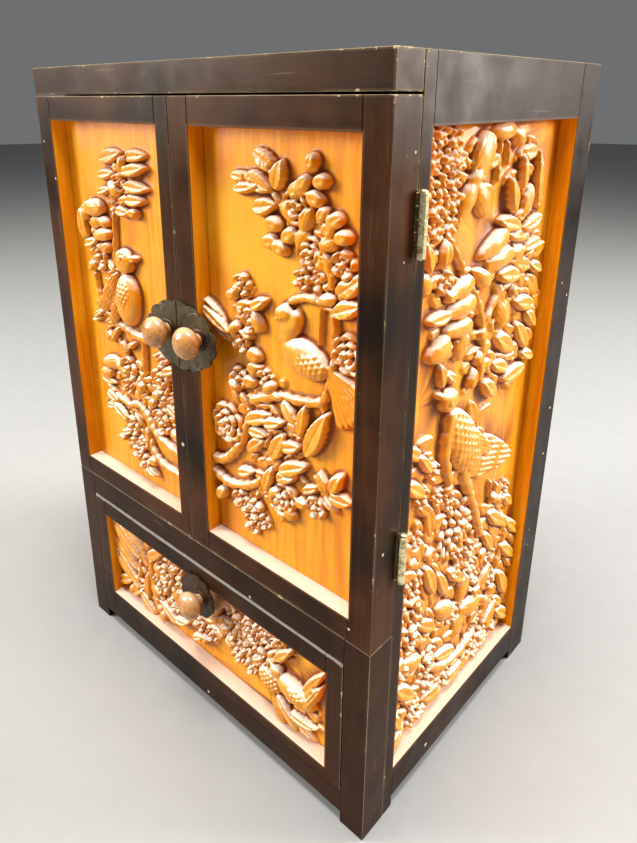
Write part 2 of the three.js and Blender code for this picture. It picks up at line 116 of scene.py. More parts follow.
def make_lights():
    """Soft lights at the front left, behind the right side and overhead, and two low ones for gloss."""
    middle = (0, 0, 0.22)
    add_area("key_left", (-1.20, -1.20, 0.95), middle, 0.8, 37, (1.0, 0.97, 0.92))
    add_area("window_right", (1.15, 1.05, 0.80), middle, 0.7, 42, (1.0, 0.98, 0.95))
    add_area("ceiling", (0.15, -0.15, 1.55), middle, 0.7, 40, (1.0, 0.98, 0.95))
    add_area("low_left", (-1.20, -0.98, 0.55), (0, 0, 0.36), 0.5, 8, (1.0, 0.97, 0.90))
    add_area("low_right", (0.92, 1.21, 0.42), (0.12, -0.05, 0.36), 0.35, 6, (1.0, 0.98, 0.95))
    world = bpy.data.worlds.new("room")
    world.use_nodes = True
    world.node_tree.nodes["Background"].inputs[0].default_value = (0.78, 0.80, 0.82, 1)
    world.node_tree.nodes["Background"].inputs[1].default_value = 0.20
    bpy.context.scene.world = world
    bpy.context.scene.view_settings.view_transform = "Standard"


# ---------------------------------------------------------------- shader helper
class Paint:
    """A thin wrapper that adds shader nodes and links their inputs."""

    def __init__(self, name):
        self.material = bpy.data.materials.new(name)
        self.material.use_nodes = True
        self.tree = self.material.node_tree
        self.tree.nodes.clear()

    def node(self, kind, values=(), **settings):
        node = self.tree.nodes.new(kind)
        for key, value in settings.items():
            setattr(node, key, value)
        for index, value in dict(values).items():
            self.feed(node.inputs[index], value)
        return node

    def feed(self, socket, value):
        if isinstance(value, bpy.types.NodeSocket):
            self.tree.links.new(value, socket)
            return
        if hasattr(value, "__len__") and len(value) == 3 and len(socket.default_value) == 4:
            value = (*value, 1)
        socket.default_value = value

    def position(self):
        return self.node("ShaderNodeTexCoord").outputs["Object"]

    def facing_up(self, low, high):
        """0 on upright and hanging faces, 1 on faces that look up; it places the painted highlights."""
        normal = self.node("ShaderNodeTexCoord").outputs["Normal"]
        return self.ramp(self.split(normal)[2], low, high)

    def math(self, operation, a, b=0.0, clamp=False):
        return self.node("ShaderNodeMath", {0: a, 1: b}, operation=operation, use_clamp=clamp).outputs[0]

    def plus(self, a, b):
        return self.math("ADD", a, b)

    def minus(self, a, b):
        return self.math("SUBTRACT", a, b)

    def times(self, a, b):
        return self.math("MULTIPLY", a, b)

    def most(self, a, b):
        return self.math("MAXIMUM", a, b)

    def least(self, a, b):
        return self.math("MINIMUM", a, b)

    def vector(self, operation, a, b=(0, 0, 0)):
        return self.node("ShaderNodeVectorMath", {0: a, 1: b}, operation=operation).outputs[0]

    def split(self, vector):
        node = self.node("ShaderNodeSeparateXYZ", {0: vector})
        return node.outputs[0], node.outputs[1], node.outputs[2]

    def noise(self, vector, scale, detail=4, roughness=0.55, distortion=0.0):
        values = {"Vector": vector, "Scale": scale, "Detail": detail,
                  "Roughness": roughness, "Distortion": distortion}
        return self.node("ShaderNodeTexNoise", values).outputs["Fac"]

    def spots(self, vector, scale):
        return self.node("ShaderNodeTexVoronoi", {"Vector": vector, "Scale": scale}).outputs["Distance"]

    def ramp(self, value, low, high, start=0.0, end=1.0):
        """Maps low..high onto start..end with soft ends."""
        values = {"Value": value, "From Min": low, "From Max": high, "To Min": start, "To Max": end}
        return self.node("ShaderNodeMapRange", values, interpolation_type="SMOOTHSTEP").outputs[0]

    def mix(self, factor, a, b):
        return self.node("ShaderNodeMix", {0: factor, 6: a, 7: b}, data_type="RGBA").outputs[2]

    def attribute(self, name):
        return self.node("ShaderNodeAttribute", attribute_name=name).outputs["Fac"]

    def bump(self, height, strength, depth):
        """Roughness without geometry, depth mm deep."""
        values = {"Height": height, "Strength": strength, "Distance": depth * MM}
        return self.node("ShaderNodeBump", values).outputs[0]

    def finish(self, colour, roughness, metallic=0.0, coat=0.0, normal=None, specular=0.5, tint=(1, 1, 1)):
        values = {"Base Color": colour, "Roughness": roughness, "Metallic": metallic, "Specular Tint": tint,
                  "Coat Weight": coat, "Coat Roughness": 0.18, "Specular IOR Level": specular}
        shader = self.node("ShaderNodeBsdfPrincipled", values)
        if normal is not None:
            self.tree.links.new(normal, shader.inputs["Normal"])
        output = self.node("ShaderNodeOutputMaterial")
        self.tree.links.new(shader.outputs[0], output.inputs[0])
        return self.material


GRAIN_STRETCH = {"x": (0.07, 1, 1), "y": (1, 0.07, 1), "z": (1, 1, 0.07)}


def depth_inside(paint, place, low, high):
    """Three distances from a point to the faces of a box, positive inside it."""
    centre = tuple((low + high) / 2)
    half = tuple((high - low) / 2)
    away = paint.vector("ABSOLUTE", paint.vector("SUBTRACT", place, centre))
    return paint.split(paint.vector("SUBTRACT", half, away))


def edge_distance(paint, place, low, high):
    """On a box's surface, the distance to its nearest arris: the middle one of the three distances."""
    a, b, c = depth_inside(paint, place, low, high)
    small = paint.least(a, b)
    large = paint.most(a, b)
    return paint.most(small, paint.least(large, c))


def varnish_colour(paint, place):
    """Golden orange varnish over camphor with upright grain."""
    along = paint.vector("MULTIPLY", place, GRAIN_STRETCH["z"])
    grain = paint.noise(along, 330, 5, 0.6, 0.3)
    streaks = paint.noise(along, 75, 3, 0.55, 0.2)
    broad = paint.noise(place, 11, 2)
    colour = paint.mix(paint.ramp(grain, 0.3, 0.7), (0.70, 0.225, 0.003), (0.92, 0.37, 0.008))
    colour = paint.mix(paint.ramp(streaks, 0.50, 0.72, 0.0, 0.65), colour, (0.54, 0.145, 0.002))
    return paint.mix(paint.ramp(broad, 0.48, 0.66, 0.0, 0.6), colour, (0.96, 0.46, 0.020))


def lacquer(paint, fibres, streaks, broad, redness):
    """Near-black lacquer that turns thin and brown in patches."""
    mottle = paint.plus(broad, paint.times(streaks, 0.35))
    red = paint.math("MULTIPLY", paint.ramp(mottle, 0.45, 0.90), redness, clamp=True)
    dark = paint.mix(fibres, (0.004, 0.0024, 0.0014), (0.014, 0.007, 0.0035))
    warm = paint.mix(fibres, (0.045, 0.013, 0.004), (0.090, 0.031, 0.010))
    return paint.mix(red, dark, warm)


def chip_arrises(paint, place, colour, fibres, chips, distance, wear):
    """Rubs the arrises brown and chips them to bare wood: the colour, and 1 in the chips."""
    patches = paint.noise(place, 33, 2)
    reach = paint.times(paint.ramp(chips, 0.55, 0.80), 2.6 * MM * wear)
    reach = paint.times(reach, paint.ramp(patches, 0.46, 0.70))
    chipped = paint.ramp(paint.minus(distance, reach), -0.1 * MM, 0.3 * MM, 1.0, 0.0)
    rubbed = paint.ramp(distance, 0.2 * MM, 1.4 * MM, 0.5 * wear, 0.0)
    rubbed = paint.times(rubbed, paint.ramp(patches, 0.40, 0.65))
    bare = paint.mix(fibres, (0.38, 0.27, 0.14), (0.60, 0.47, 0.28))
    colour = paint.mix(rubbed, colour, (0.11, 0.07, 0.04))
    return paint.mix(chipped, colour, bare), chipped


def nick_and_scratch(paint, place, colour, broad, grain, nicked):
    """Pale nicks, denser where nicked, and scratches along the grain: the colour, and 1 in the nicks."""
    nicks = paint.ramp(paint.spots(place, 95 if nicked else 62), 0.05, 0.09, 1.0, 0.0)
    where = paint.ramp(paint.noise(place, 24, 1), *((0.44, 0.50) if nicked else (0.60, 0.66)))
    nicks = paint.times(nicks, where)
    stretch = (1, 1, 0.035) if grain == "z" else (0.035, 0.035, 1)
    scratches = paint.ramp(paint.noise(paint.vector("MULTIPLY", place, stretch), 420, 1), 0.725, 0.75)
    scratches = paint.times(scratches, paint.ramp(broad, 0.45, 0.6, 0.0, 0.4))
    colour = paint.mix(nicks, colour, (0.62, 0.54, 0.38))
    return paint.mix(scratches, colour, (0.16, 0.115, 0.075)), nicks


def worn_edge_highlight(paint, place, colour, streaks, chips, top):
    """A strip of the front face just under top, painted light grey as a highlight on the rubbed top arris:
    the colour, and 1 in the strip.
    """
    _, depth, height = paint.split(place)
    ragged = paint.times(paint.ramp(streaks, 0.3, 0.7, -1, 1), 0.5 * MM)
    below = paint.plus(paint.minus(top, height), ragged)
    worn_highlight = paint.ramp(below, 1.3 * MM, 2.1 * MM, 1.0, 0.0)
    worn_highlight = paint.times(worn_highlight, paint.ramp(chips, 0.25, 0.5, 0.5, 0.95))
    front = paint.ramp(depth, FRONT_Y + 0.6 * MM, FRONT_Y + 1.4 * MM, 1.0, 0.0)
    worn_highlight = paint.times(worn_highlight, front)
    return paint.mix(worn_highlight, colour, (0.30, 0.28, 0.235)), worn_highlight


def varnish_opening(paint, place, colour, streaks, opening):
    """Golden varnish inside an opening, with a painted highlight on its sill, and a brown rim: the colour,
    and 1 inside.
    """
    a, b, c = depth_inside(paint, place, *opening)
    depth = paint.least(paint.least(a, b), c)
    rim = paint.times(paint.ramp(depth, -1.1 * MM, -0.4 * MM), 0.45)
    colour = paint.mix(rim, colour, (0.15, 0.075, 0.032))
    inner = paint.ramp(depth, -0.1 * MM, 0.1 * MM)
    # painted highlight: the sill, which looks up, is painted light cream
    sill_highlight = paint.mix(streaks, (0.66, 0.49, 0.37), (0.78, 0.62, 0.50))
    varnished = paint.mix(paint.facing_up(0.5, 0.9), varnish_colour(paint, place), sill_highlight)
    return paint.mix(inner, colour, varnished), inner


def lacquered_wood(name, group, grain, opening, redness, wear, strip, nicked):
    """A frame member's finish. Wear follows the arrises of the box round the group it belongs to."""
    low, high = group
    paint = Paint("lacquer_" + name)
    place = paint.position()
    along = paint.vector("MULTIPLY", place, GRAIN_STRETCH[grain])
    broad = paint.noise(place, 14, 3)
    fibres = paint.noise(along, 620, 5, 0.6)
    streaks = paint.noise(along, 130, 3, 0.6, 0.4)
    chips = paint.noise(place, 260, 4, 0.65)
    distance = edge_distance(paint, place, low, high)
    colour = lacquer(paint, fibres, streaks, broad, redness)
    colour, chipped = chip_arrises(paint, place, colour, fibres, chips, distance, wear)
    colour, nicks = nick_and_scratch(paint, place, colour, broad, grain, nicked)
    damage = paint.most(chipped, nicks)
    # painted highlight: a light grey strip under the drawer front's top arris
    if strip:
        colour, worn_highlight = worn_edge_highlight(paint, place, colour, streaks, chips, float(high[2]))
        damage = paint.most(damage, paint.times(worn_highlight, 0.4))
    if opening is not None:
        colour, inner = varnish_opening(paint, place, colour, streaks, opening)
        outside = paint.minus(1.0, inner)
        fibres = paint.times(fibres, outside)
        damage = paint.times(damage, outside)
    gloss = paint.ramp(paint.noise(place, 48, 4), 0.3, 0.7, 0.26, 0.42)
    roughness = paint.plus(gloss, paint.times(damage, 0.3))
    relief = paint.minus(paint.times(fibres, 0.25), damage)
    normal = paint.bump(relief, 0.3, 0.4)
    return paint.finish(colour, roughness, normal=normal, specular=0.085, tint=(1.0, 0.80, 0.62))


def carved_wood(name):
    """The same varnish on the carving, with painted highlights on upward slopes and painted shade in the
    cuts; bare at the back.
    """
    paint = Paint(name)
    place = paint.position()
    along = paint.vector("MULTIPLY", place, GRAIN_STRETCH["z"])
    fine = paint.noise(along, 1500, 3, 0.6)
    rise = paint.attribute("rise")
    painted_cavity_shade = paint.attribute("painted_cavity_shade")
    ground = varnish_colour(paint, place)
    golden = paint.mix(fine, (0.64, 0.190, 0.002), (0.82, 0.300, 0.008))
    raised = paint.ramp(rise, 0.06, 0.30)
    colour = paint.mix(paint.times(raised, 0.8), ground, golden)
    patches = paint.ramp(paint.noise(place, 150, 3), 0.36, 0.66)
    rubbed = paint.times(paint.ramp(rise, 0.35, 0.85, 0.0, 0.45), patches)
    colour = paint.mix(rubbed, colour, (0.90, 0.44, 0.06))
    # painted highlight: raised faces that look up are painted light cream
    painted_highlight = paint.times(paint.facing_up(0.20, 0.65), raised)
    colour = paint.mix(paint.times(painted_highlight, 0.88), colour, (0.98, 0.88, 0.74))
    # painted shade: darker in the cuts and on the ground beside tall forms
    colour = paint.mix(paint.ramp(painted_cavity_shade, 0.05, 0.65), colour, (0.24, 0.052, 0.003))
    planks = paint.noise(along, 110, 4, 0.6, 0.6)
    bare = paint.mix(planks, (0.36, 0.19, 0.075), (0.62, 0.39, 0.19))
    colour = paint.mix(paint.ramp(paint.attribute("front"), 0.2, 0.6), bare, colour)
    gloss = paint.ramp(paint.noise(place, 90, 3), 0.3, 0.7, 0.26, 0.42)
    roughness = paint.plus(gloss, paint.times(painted_cavity_shade, 0.3))
    tools = paint.noise(paint.vector("MULTIPLY", place, (1, 1, 0.35)), 420, 3, 0.5)
    tools = paint.times(tools, raised)
    relief = paint.plus(paint.times(fine, 0.2), paint.times(tools, 0.8))
    return paint.finish(colour, roughness, coat=0.12, normal=paint.bump(relief, 0.4, 0.4), specular=0.28)


def plain_board(name, grain):
    """Unvarnished board, a little dusty, with open grain."""
    paint = Paint("board_" + name)
    place = paint.position()
    along = paint.vector("MULTIPLY", place, GRAIN_STRETCH[grain])
    bands = paint.noise(along, 95, 4, 0.6, 0.8)
    pores = paint.noise(along, 900, 3, 0.7)
    colour = paint.mix(paint.ramp(bands, 0.3, 0.7), (0.30, 0.165, 0.075), (0.52, 0.33, 0.17))
    colour = paint.mix(paint.ramp(pores, 0.55, 0.75, 0.0, 0.55), colour, (0.16, 0.085, 0.04))
    stain = paint.ramp(paint.noise(place, 19, 4), 0.45, 0.75, 0.0, 0.35)
    colour = paint.mix(stain, colour, (0.20, 0.12, 0.07))
    relief = paint.plus(bands, pores)
    roughness = paint.ramp(pores, 0.3, 0.7, 0.55, 0.8)
    return paint.finish(colour, roughness, normal=paint.bump(relief, 0.3, 0.4))


def turned_wood(name, axis_x, axis_z):
    """Varnished turned wood with faint rings round the turning axis and a painted highlight on the faces
    that look up.
    """
    paint = Paint(name)
    place = paint.position()
    x, y, z = paint.split(paint.vector("SUBTRACT", place, (axis_x, FRONT_Y, axis_z)))
    rings = paint.node("ShaderNodeCombineXYZ", {0: paint.times(x, 0.35), 1: y, 2: z}).outputs[0]
    grain = paint.noise(rings, 420, 4, 0.6, 0.5)
    broad = paint.noise(place, 130, 3)
    colour = paint.mix(paint.ramp(grain, 0.3, 0.7), (0.33, 0.115, 0.020), (0.56, 0.245, 0.060))
    colour = paint.mix(paint.ramp(broad, 0.50, 0.72, 0.0, 0.4), colour, (0.66, 0.36, 0.13))
    # painted highlight: faces that look up are painted light cream
    painted_highlight = paint.times(paint.facing_up(0.25, 0.95), 0.45)
    colour = paint.mix(painted_highlight, colour, (0.86, 0.66, 0.44))
    smudge = paint.ramp(paint.noise(place, 300, 3), 0.58, 0.72, 0.0, 0.4)
    colour = paint.mix(smudge, colour, (0.20, 0.075, 0.020))
    roughness = paint.ramp(broad, 0.3, 0.7, 0.18, 0.32)
    return paint.finish(colour, roughness, coat=0.4, normal=paint.bump(grain, 0.15, 0.3))


def dark_plate(name, low, high, tone):
    """Dark sheet with an engraved border, rubbed a little brighter in patches."""
    paint = Paint(name)
    place = paint.position()
    centre = (low + high) / 2
    half = (high - low) / 2
    x, _, z = paint.split(paint.vector("SUBTRACT", place, tuple(centre)))
    x = paint.math("DIVIDE", x, float(half[0]))
    z = paint.math("DIVIDE", z, float(half[2]))
    out = paint.math("SQRT", paint.plus(paint.times(x, x), paint.times(z, z)))
    turn = paint.math("ARCTAN2", z, x)
    line = paint.ramp(paint.math("ABSOLUTE", paint.minus(out, 0.80)), 0.0, 0.022, 1.0, 0.0)
    rays = paint.ramp(paint.math("SINE", paint.times(turn, 70)), 0.3, 0.9)
    cuts = paint.most(line, paint.times(rays, paint.ramp(out, 0.82, 0.84)))
    mottle = paint.noise(place, 210, 5, 0.65)
    fine = paint.noise(place, 1400, 3)
    colour = paint.mix(paint.ramp(mottle, 0.35, 0.68), *tone)
    bright = paint.ramp(paint.noise(place, 95, 4, 0.7), 0.58, 0.72, 0.0, 0.5)
    colour = paint.mix(bright, colour, (0.20, 0.155, 0.085))
    colour = paint.mix(paint.times(cuts, 0.7), colour, (0.012, 0.008, 0.006))
    roughness = paint.ramp(fine, 0.3, 0.7, 0.34, 0.52)
    relief = paint.plus(mottle, paint.times(fine, 0.3))
    relief = paint.minus(relief, paint.times(cuts, 1.5))
    normal = paint.bump(relief, 0.4, 0.4)
    return paint.finish(colour, roughness, metallic=0.3, normal=normal, tint=(1.0, 0.86, 0.66))


OLIVE_BROWN = ((0.034, 0.025, 0.012), (0.100, 0.078, 0.040))
RED_BROWN = ((0.022, 0.007, 0.004), (0.070, 0.026, 0.014))


def old_brass(name):
    """Pale brass with dull brown bloom in patches."""
    paint = Paint(name)
    place = paint.position()
    bloom = paint.noise(place, 260, 5, 0.7)
    fine = paint.noise(place, 2200, 2)
    colour = paint.mix(paint.ramp(bloom, 0.46, 0.66, 0.0, 0.9), (0.92, 0.80, 0.46), (0.24, 0.16, 0.055))
    roughness = paint.ramp(bloom, 0.3, 0.7, 0.24, 0.5)
    return paint.finish(colour, roughness, metallic=1.0, normal=paint.bump(fine, 0.2, 0.2))


# ---------------------------------------------------------------- mesh helpers
def new_object(name, mesh, body, material):
    mesh.materials.append(material)
    piece = bpy.data.objects.new(name, mesh)
    bpy.context.scene.collection.objects.link(piece)
    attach(piece, body)
    return piece


def mesh_from_arrays(name, points, quads, faces):
    """A mesh of smooth quads and flat faces with any number of corners."""
    mesh = bpy.data.meshes.new(name)
    sizes = np.concatenate([np.full(len(quads), 4, np.int32), np.array([len(f) for f in faces], np.int32)])
    corners = np.concatenate([np.asarray(quads, np.int32).ravel(),
                              np.array([i for face in faces for i in face], np.int32)])
    mesh.vertices.add(len(points))
    mesh.vertices.foreach_set("co", np.asarray(points, np.float32).ravel())
    mesh.loops.add(len(corners))
    mesh.loops.foreach_set("vertex_index", corners)
    mesh.polygons.add(len(sizes))
    mesh.polygons.foreach_set("loop_start", np.concatenate([[0], np.cumsum(sizes)[:-1]]).astype(np.int32))
    flags = np.zeros(len(sizes), bool)
    flags[:len(quads)] = True
    mesh.polygons.foreach_set("use_smooth", flags)
    mesh.update(calc_edges=True)
    mesh.validate()
    return mesh


def lathe_mesh(name, outline, centre, segments=72):
    """A closed body of revolution about -Y. The outline holds (radius, distance out of the front) in mm."""
    rings = [(r, h) for r, h in outline if r > 1e-6]
    points = []
    for r, h in rings:
        for k in range(segments):
            turn = 2 * math.pi * k / segments
            offset = (r * math.cos(turn), -h, r * math.sin(turn))
            points.append([c + o * MM for c, o in zip(centre, offset)])
    quads = []
    for i in range(len(rings) - 1):
        for k in range(segments):
            a, b = i * segments + k, i * segments + (k + 1) % segments
            quads.append((a, a + segments, b + segments, b))
    first, last = len(points), len(points) + 1
    points.append([centre[0], centre[1] - outline[0][1] * MM, centre[2]])
    points.append([centre[0], centre[1] - outline[-1][1] * MM, centre[2]])
    top = (len(rings) - 1) * segments
    caps = []
    for k in range(segments):
        after = (k + 1) % segments
        caps.append((first, k, after))
        caps.append((last, top + after, top + k))
    return mesh_from_arrays(name, points, quads, caps)


def smooth_outline(points, steps):
    """Points on a Catmull-Rom curve through the given ones."""
    points = [np.array(p, float) for p in points]
    padded = [2 * points[0] - points[1], *points, 2 * points[-1] - points[-2]]
    curve = []
    for i in range(1, len(padded) - 2):
        a, b, c, d = padded[i - 1:i + 3]
        for k in range(steps):
            t = k / steps
            curve.append(0.5 * (2 * b + (c - a) * t + (2 * a - 5 * b + 4 * c - d) * t ** 2
                                + (3 * b - a - 3 * c + d) * t ** 3))
    curve.append(points[-1])
    return curve


def add_bevel(piece, width, segments=3):
    joined = piece.modifiers.new("weld", "WELD")
    joined.merge_threshold = 1e-6
    bevel = piece.modifiers.new("bevel", "BEVEL")
    bevel.width = width
    bevel.segments = segments
    bevel.limit_method = "ANGLE"
    bevel.angle_limit = math.radians(35)
    bevel.harden_normals = False


# ---------------------------------------------------------------- relief carving
MOAT = 2.0  # depth in mm of the cut that sets one form off from those under it
SHOULDER = 0.7  # mm over which a form's edge rounds off
HIGHEST = 8.4  # height in mm over the ground that no form passes, just inside the frame's face
STEP = 0.45  # mm between the points of a panel's grid
SIDE_STEP = 0.6  # the same for the larger side panels
KEPT_FACES = 0.62  # part of the grid's faces that is kept


class Relief:
    """A carved ground: a grid of heights in mm over a panel's width and height."""

    def __init__(self, width, height, step):
        self.u = np.linspace(0, width, int(round(width / step)) + 1)
        self.v = np.linspace(0, height, int(round(height / step)) + 1)
        self.heights = np.zeros((len(self.v), len(self.u)))
        self.forms = []
        self.rng = np.random.default_rng(11)

    def add(self, u, v, degrees, reach, lift, form):
        """Keeps a form for cut(): form(x, y) gives its top surface and how far inside its outline it is."""
        self.forms.append((lift, u, v, degrees, reach + 2, form))

    def cut(self):
        """Cuts the low forms first, so that the high ones lie over them."""
        for _, u, v, degrees, reach, form in sorted(self.forms, key=lambda entry: entry[0]):
            i0, i1 = np.searchsorted(self.u, (u - reach, u + reach))
            j0, j1 = np.searchsorted(self.v, (v - reach, v + reach))
            if i0 >= i1 or j0 >= j1:
                continue
            across, up = np.meshgrid(self.u[i0:i1] - u, self.v[j0:j1] - v)
            c, s = math.cos(math.radians(degrees)), math.sin(math.radians(degrees))
            top, inside = form(across * c + up * s, up * c - across * s)
            under = self.heights[j0:j1, i0:i1]
            moat = MOAT * np.exp(-(inside / 0.8) ** 2) * ((inside <= 0) & (under < top))
            lowered = np.maximum(under - moat, np.minimum(under, 0.6))
            shell = np.where(inside > 0, top * wall(inside), 0)
            self.heights[j0:j1, i0:i1] = np.maximum(lowered, shell)


def wall(inside):
    """The rounded shoulder of a form: 0 at its outline, 1 from SHOULDER inwards."""
    short = 1 - np.clip(inside / SHOULDER, 0, 1)
    return np.sqrt(1 - short ** 2)


def leaf_form(length, width, lift, lean=0.4):
    """Pointed at both ends, one half higher than the other, with a midrib and side veins cut in."""
    def form(x, y):
        t = np.clip(x / length + 0.5, 0, 1)
        half = 0.5 * width * np.sin(np.pi * t ** 0.85) ** 0.7
        half = half * (1 + 0.03 * np.cos(2 * np.pi * x / 3.4))
        side = np.clip(y / np.maximum(half, 0.1), -1, 1)
        top = lift + 0.8 * np.sin(np.pi * t) + 0.5 * side ** 2 + lean * side
        top = top - 0.7 * np.exp(-(y / 0.42) ** 2)
        veins = 0.5 + 0.5 * np.cos(2 * np.pi * (x - 0.9 * np.abs(y)) / 2.4)
        top = top - 0.36 * veins * np.abs(side)
        return top, np.minimum(half - np.abs(y), 0.5 * length - np.abs(x))
    return form


def petal_form(length, width, lift, cup, tilt=0.0):
    """A rounded petal, wider at its outer end: hollow where cup is positive, swelling where negative."""
    def form(x, y):
        a, b = length / 2, width / 2
        rho = np.sqrt((x / a) ** 2 + (y / (b * (1 + 0.22 * np.clip(x / a, -1, 1)))) ** 2)
        top = lift + cup * np.minimum(rho, 1) ** 2 + tilt * np.clip(x / a, -1, 1)
        grooves = 0.5 + 0.5 * np.cos(2 * np.pi * y / max(0.36 * b, 1.6))
        top = top - 0.45 * grooves * np.clip(rho * 1.4, 0, 1)
        return top, (1 - rho) * min(a, b)
    return form


def bud_form(length, width, lift, height=1.6):
    """A swelling bud, parted at its tip."""
    def form(x, y):
        a, b = length / 2, width / 2
        rho = np.sqrt((x / a) ** 2 + (y / b) ** 2)
        top = lift + height * (1 - rho ** 3) - 0.6 * np.exp(-(rho / 0.35) ** 2)
        top = top - 0.7 * np.exp(-(y / 0.35) ** 2) * np.clip(x / a, 0, 1)
        return top, (1 - rho) * min(a, b)
    return form


def body_form(half_length, half_width, lift, height, pitch=0.0):
    """A bird's rounded body, covered with overlapping scales when pitch is given."""
    def form(x, y):
        rho = np.sqrt((x / half_length) ** 2 + (y / half_width) ** 2)
        top = lift + height * np.sqrt(np.clip(1 - rho ** 2, 0, 1))
        if pitch:
            row = np.floor(x / pitch)
            along = x / pitch - row
            across = np.mod(y / (pitch * 1.15) + 0.5 * np.mod(row, 2), 1) - 0.5
            top = top + 1.4 * np.clip(1 - np.hypot(across * 1.7, along - 0.15), 0, 1) - 0.7
        return top, (1 - rho) * min(half_length, half_width)
    return form


def wing_form(length, width, lift):
    """A folded wing or tail: long feathers side by side, in three overlapping rows."""
    pitch = max(1.9, width / 8)

    def form(x, y):
        t = np.clip(x / length + 0.5, 0, 1)
        half = 0.5 * width * np.sin(np.pi * np.clip(t, 0.02, 0.98) ** 0.62) ** 0.6
        quill = np.mod(y / pitch, 1) - 0.5
        rows = np.mod(3 * t + 0.10 * np.cos(2 * np.pi * y / pitch), 1)
        top = lift + 1.2 * (1 - (y / (0.5 * width)) ** 2) + 1.2 * (1 - rows)
        top = top - 1.3 * np.exp(-((np.abs(quill) - 0.5) / 0.17) ** 2)
        return top, np.minimum(half - np.abs(y), 0.5 * length - np.abs(x))
    return form


def fan_form(radius, spread, lift, rays):
    """A spread tail: a sector from the origin along +x, cut with rays and scalloped at its end."""
    def form(x, y):
        out = np.hypot(x, y)
        turn = np.arctan2(y, x)
        ray = np.mod(turn / spread * rays, 1) - 0.5
        rim = radius * (1 - 0.07 * (2 * ray) ** 2)
        top = lift + 0.8 * out / radius - 0.7 * np.exp(-((np.abs(ray) - 0.5) / 0.15) ** 2)
        return top, np.minimum(rim - out, (0.5 * spread - np.abs(turn)) * np.maximum(out, 0.5))
    return form


def polar(u, v, out, degrees):
    """The point at distance out from (u, v)."""
    turn = math.radians(degrees)
    return u + out * math.cos(turn), v + out * math.sin(turn)


def carve_leaf(relief, u, v, length, degrees, width):
    lift = relief.rng.uniform(2.6, 5.0)
    lean = -0.5 if math.cos(math.radians(degrees)) > 0 else 0.5
    relief.add(u, v, degrees, 0.5 * length, lift, leaf_form(length, width, lift, lean))


def carve_petal(relief, u, v, length, degrees, width):
    lift = relief.rng.uniform(4.2, 6.2)
    relief.add(u, v, degrees, 0.6 * length, lift, petal_form(length, width, lift, -1.9, 0.6))


def carve_bud(relief, u, v, radius, degrees=20.0):
    lift = relief.rng.uniform(2.8, 4.2)
    relief.add(u, v, degrees, 1.2 * radius, lift, bud_form(2.3 * radius, 1.75 * radius, lift))


def carve_ring(relief, u, v, radius, turn, ring):
    """One ring of petals: its distance out, the petals' size and width, their number, lift and cup."""
    out, size, width, count, lift, cup = ring
    for k in range(count):
        degrees = turn + 360 * k / count
        pu, pv = polar(u, v, out * radius, degrees)
        high = lift + 0.5 * (k % 2)
        form = petal_form(size * radius, width * radius, high, cup, 0.8)
        relief.add(pu, pv, degrees, size * radius, high, form)


def carve_blossom(relief, u, v, radius, turn):
    """Five cupped petals about a button with stamens."""
    lift = relief.rng.uniform(2.8, 3.8)
    carve_ring(relief, u, v, radius, turn, (0.54, 1.0, 0.92, 5, lift, 1.2))
    relief.add(u, v, 0, radius, lift + 1.6, bud_form(0.62 * radius, 0.62 * radius, lift + 0.8, 1.4))
    for k in range(5):
        degrees = turn + 36 + 72 * k
        su, sv = polar(u, v, 0.44 * radius, degrees)
        stamen = petal_form(0.34 * radius, 0.2 * radius, lift + 1.4, 0.2)
        relief.add(su, sv, degrees, radius, lift + 1.7, stamen)


def carve_peony(relief, u, v, radius, turn):
    """Three rings of petals that rise to the heart."""
    carve_ring(relief, u, v, radius, turn, (0.64, 0.74, 0.74, 7, 2.4, 1.4))
    carve_ring(relief, u, v, radius, turn + 30, (0.36, 0.60, 0.58, 5, 4.0, 1.2))
    carve_ring(relief, u, v, radius, turn, (0.14, 0.42, 0.40, 3, 5.4, 1.0))


def carve_aster(relief, u, v, radius):
    """Three rings of narrow petals."""
    carve_ring(relief, u, v, radius, 0, (0.66, 0.70, 0.27, 15, 2.6, 0.5))
    carve_ring(relief, u, v, radius, 12, (0.42, 0.56, 0.24, 12, 4.2, 0.6))
    carve_ring(relief, u, v, radius, 0, (0.18, 0.40, 0.24, 7, 5.6, 0.6))


def carve_florets(relief, u0, u1, v0, v1, pitch):
    """A dense mass of small five-petalled flowers."""
    for row, v in enumerate(np.arange(v0, v1, pitch)):
        for u in np.arange(u0 + 0.5 * pitch * (row % 2), u1, pitch):
            du, dv, turn = relief.rng.uniform(-0.12, 0.12, 3) * (pitch, pitch, 360)
            lift = relief.rng.uniform(2.2, 4.4)
            carve_ring(relief, u + du, v + dv, 0.58 * pitch, turn, (0.56, 0.92, 0.70, 5, lift, 1.3))
            centre = bud_form(0.34 * pitch, 0.34 * pitch, lift + 0.5, 0.9)
            relief.add(u + du, v + dv, 0, pitch, lift + 1.2, centre)


def carve_thicket(relief, u, v, half_length, half_width, degrees, count, size=10.5):
    """Low, crowded leaves in a spiral that fills an oval behind the larger forms."""
    c, s = math.cos(math.radians(degrees)), math.sin(math.radians(degrees))
    for k in range(count):
        out, turn = math.sqrt((k + 0.5) / count), 2.4 * k
        along, across = half_length * out * math.cos(turn), half_width * out * math.sin(turn)
        pu, pv = u + along * c - across * s, v + along * s + across * c
        length, lift = size * relief.rng.uniform(0.8, 1.2), relief.rng.uniform(1.3, 2.5)
        lean = relief.rng.uniform(-40, 40)
        form = leaf_form(length, 0.42 * length, lift)
        if k % 4 == 0:
            form = petal_form(0.8 * length, 0.5 * length, lift, 0.8)
        relief.add(pu, pv, degrees + lean, 0.5 * length, lift, form)


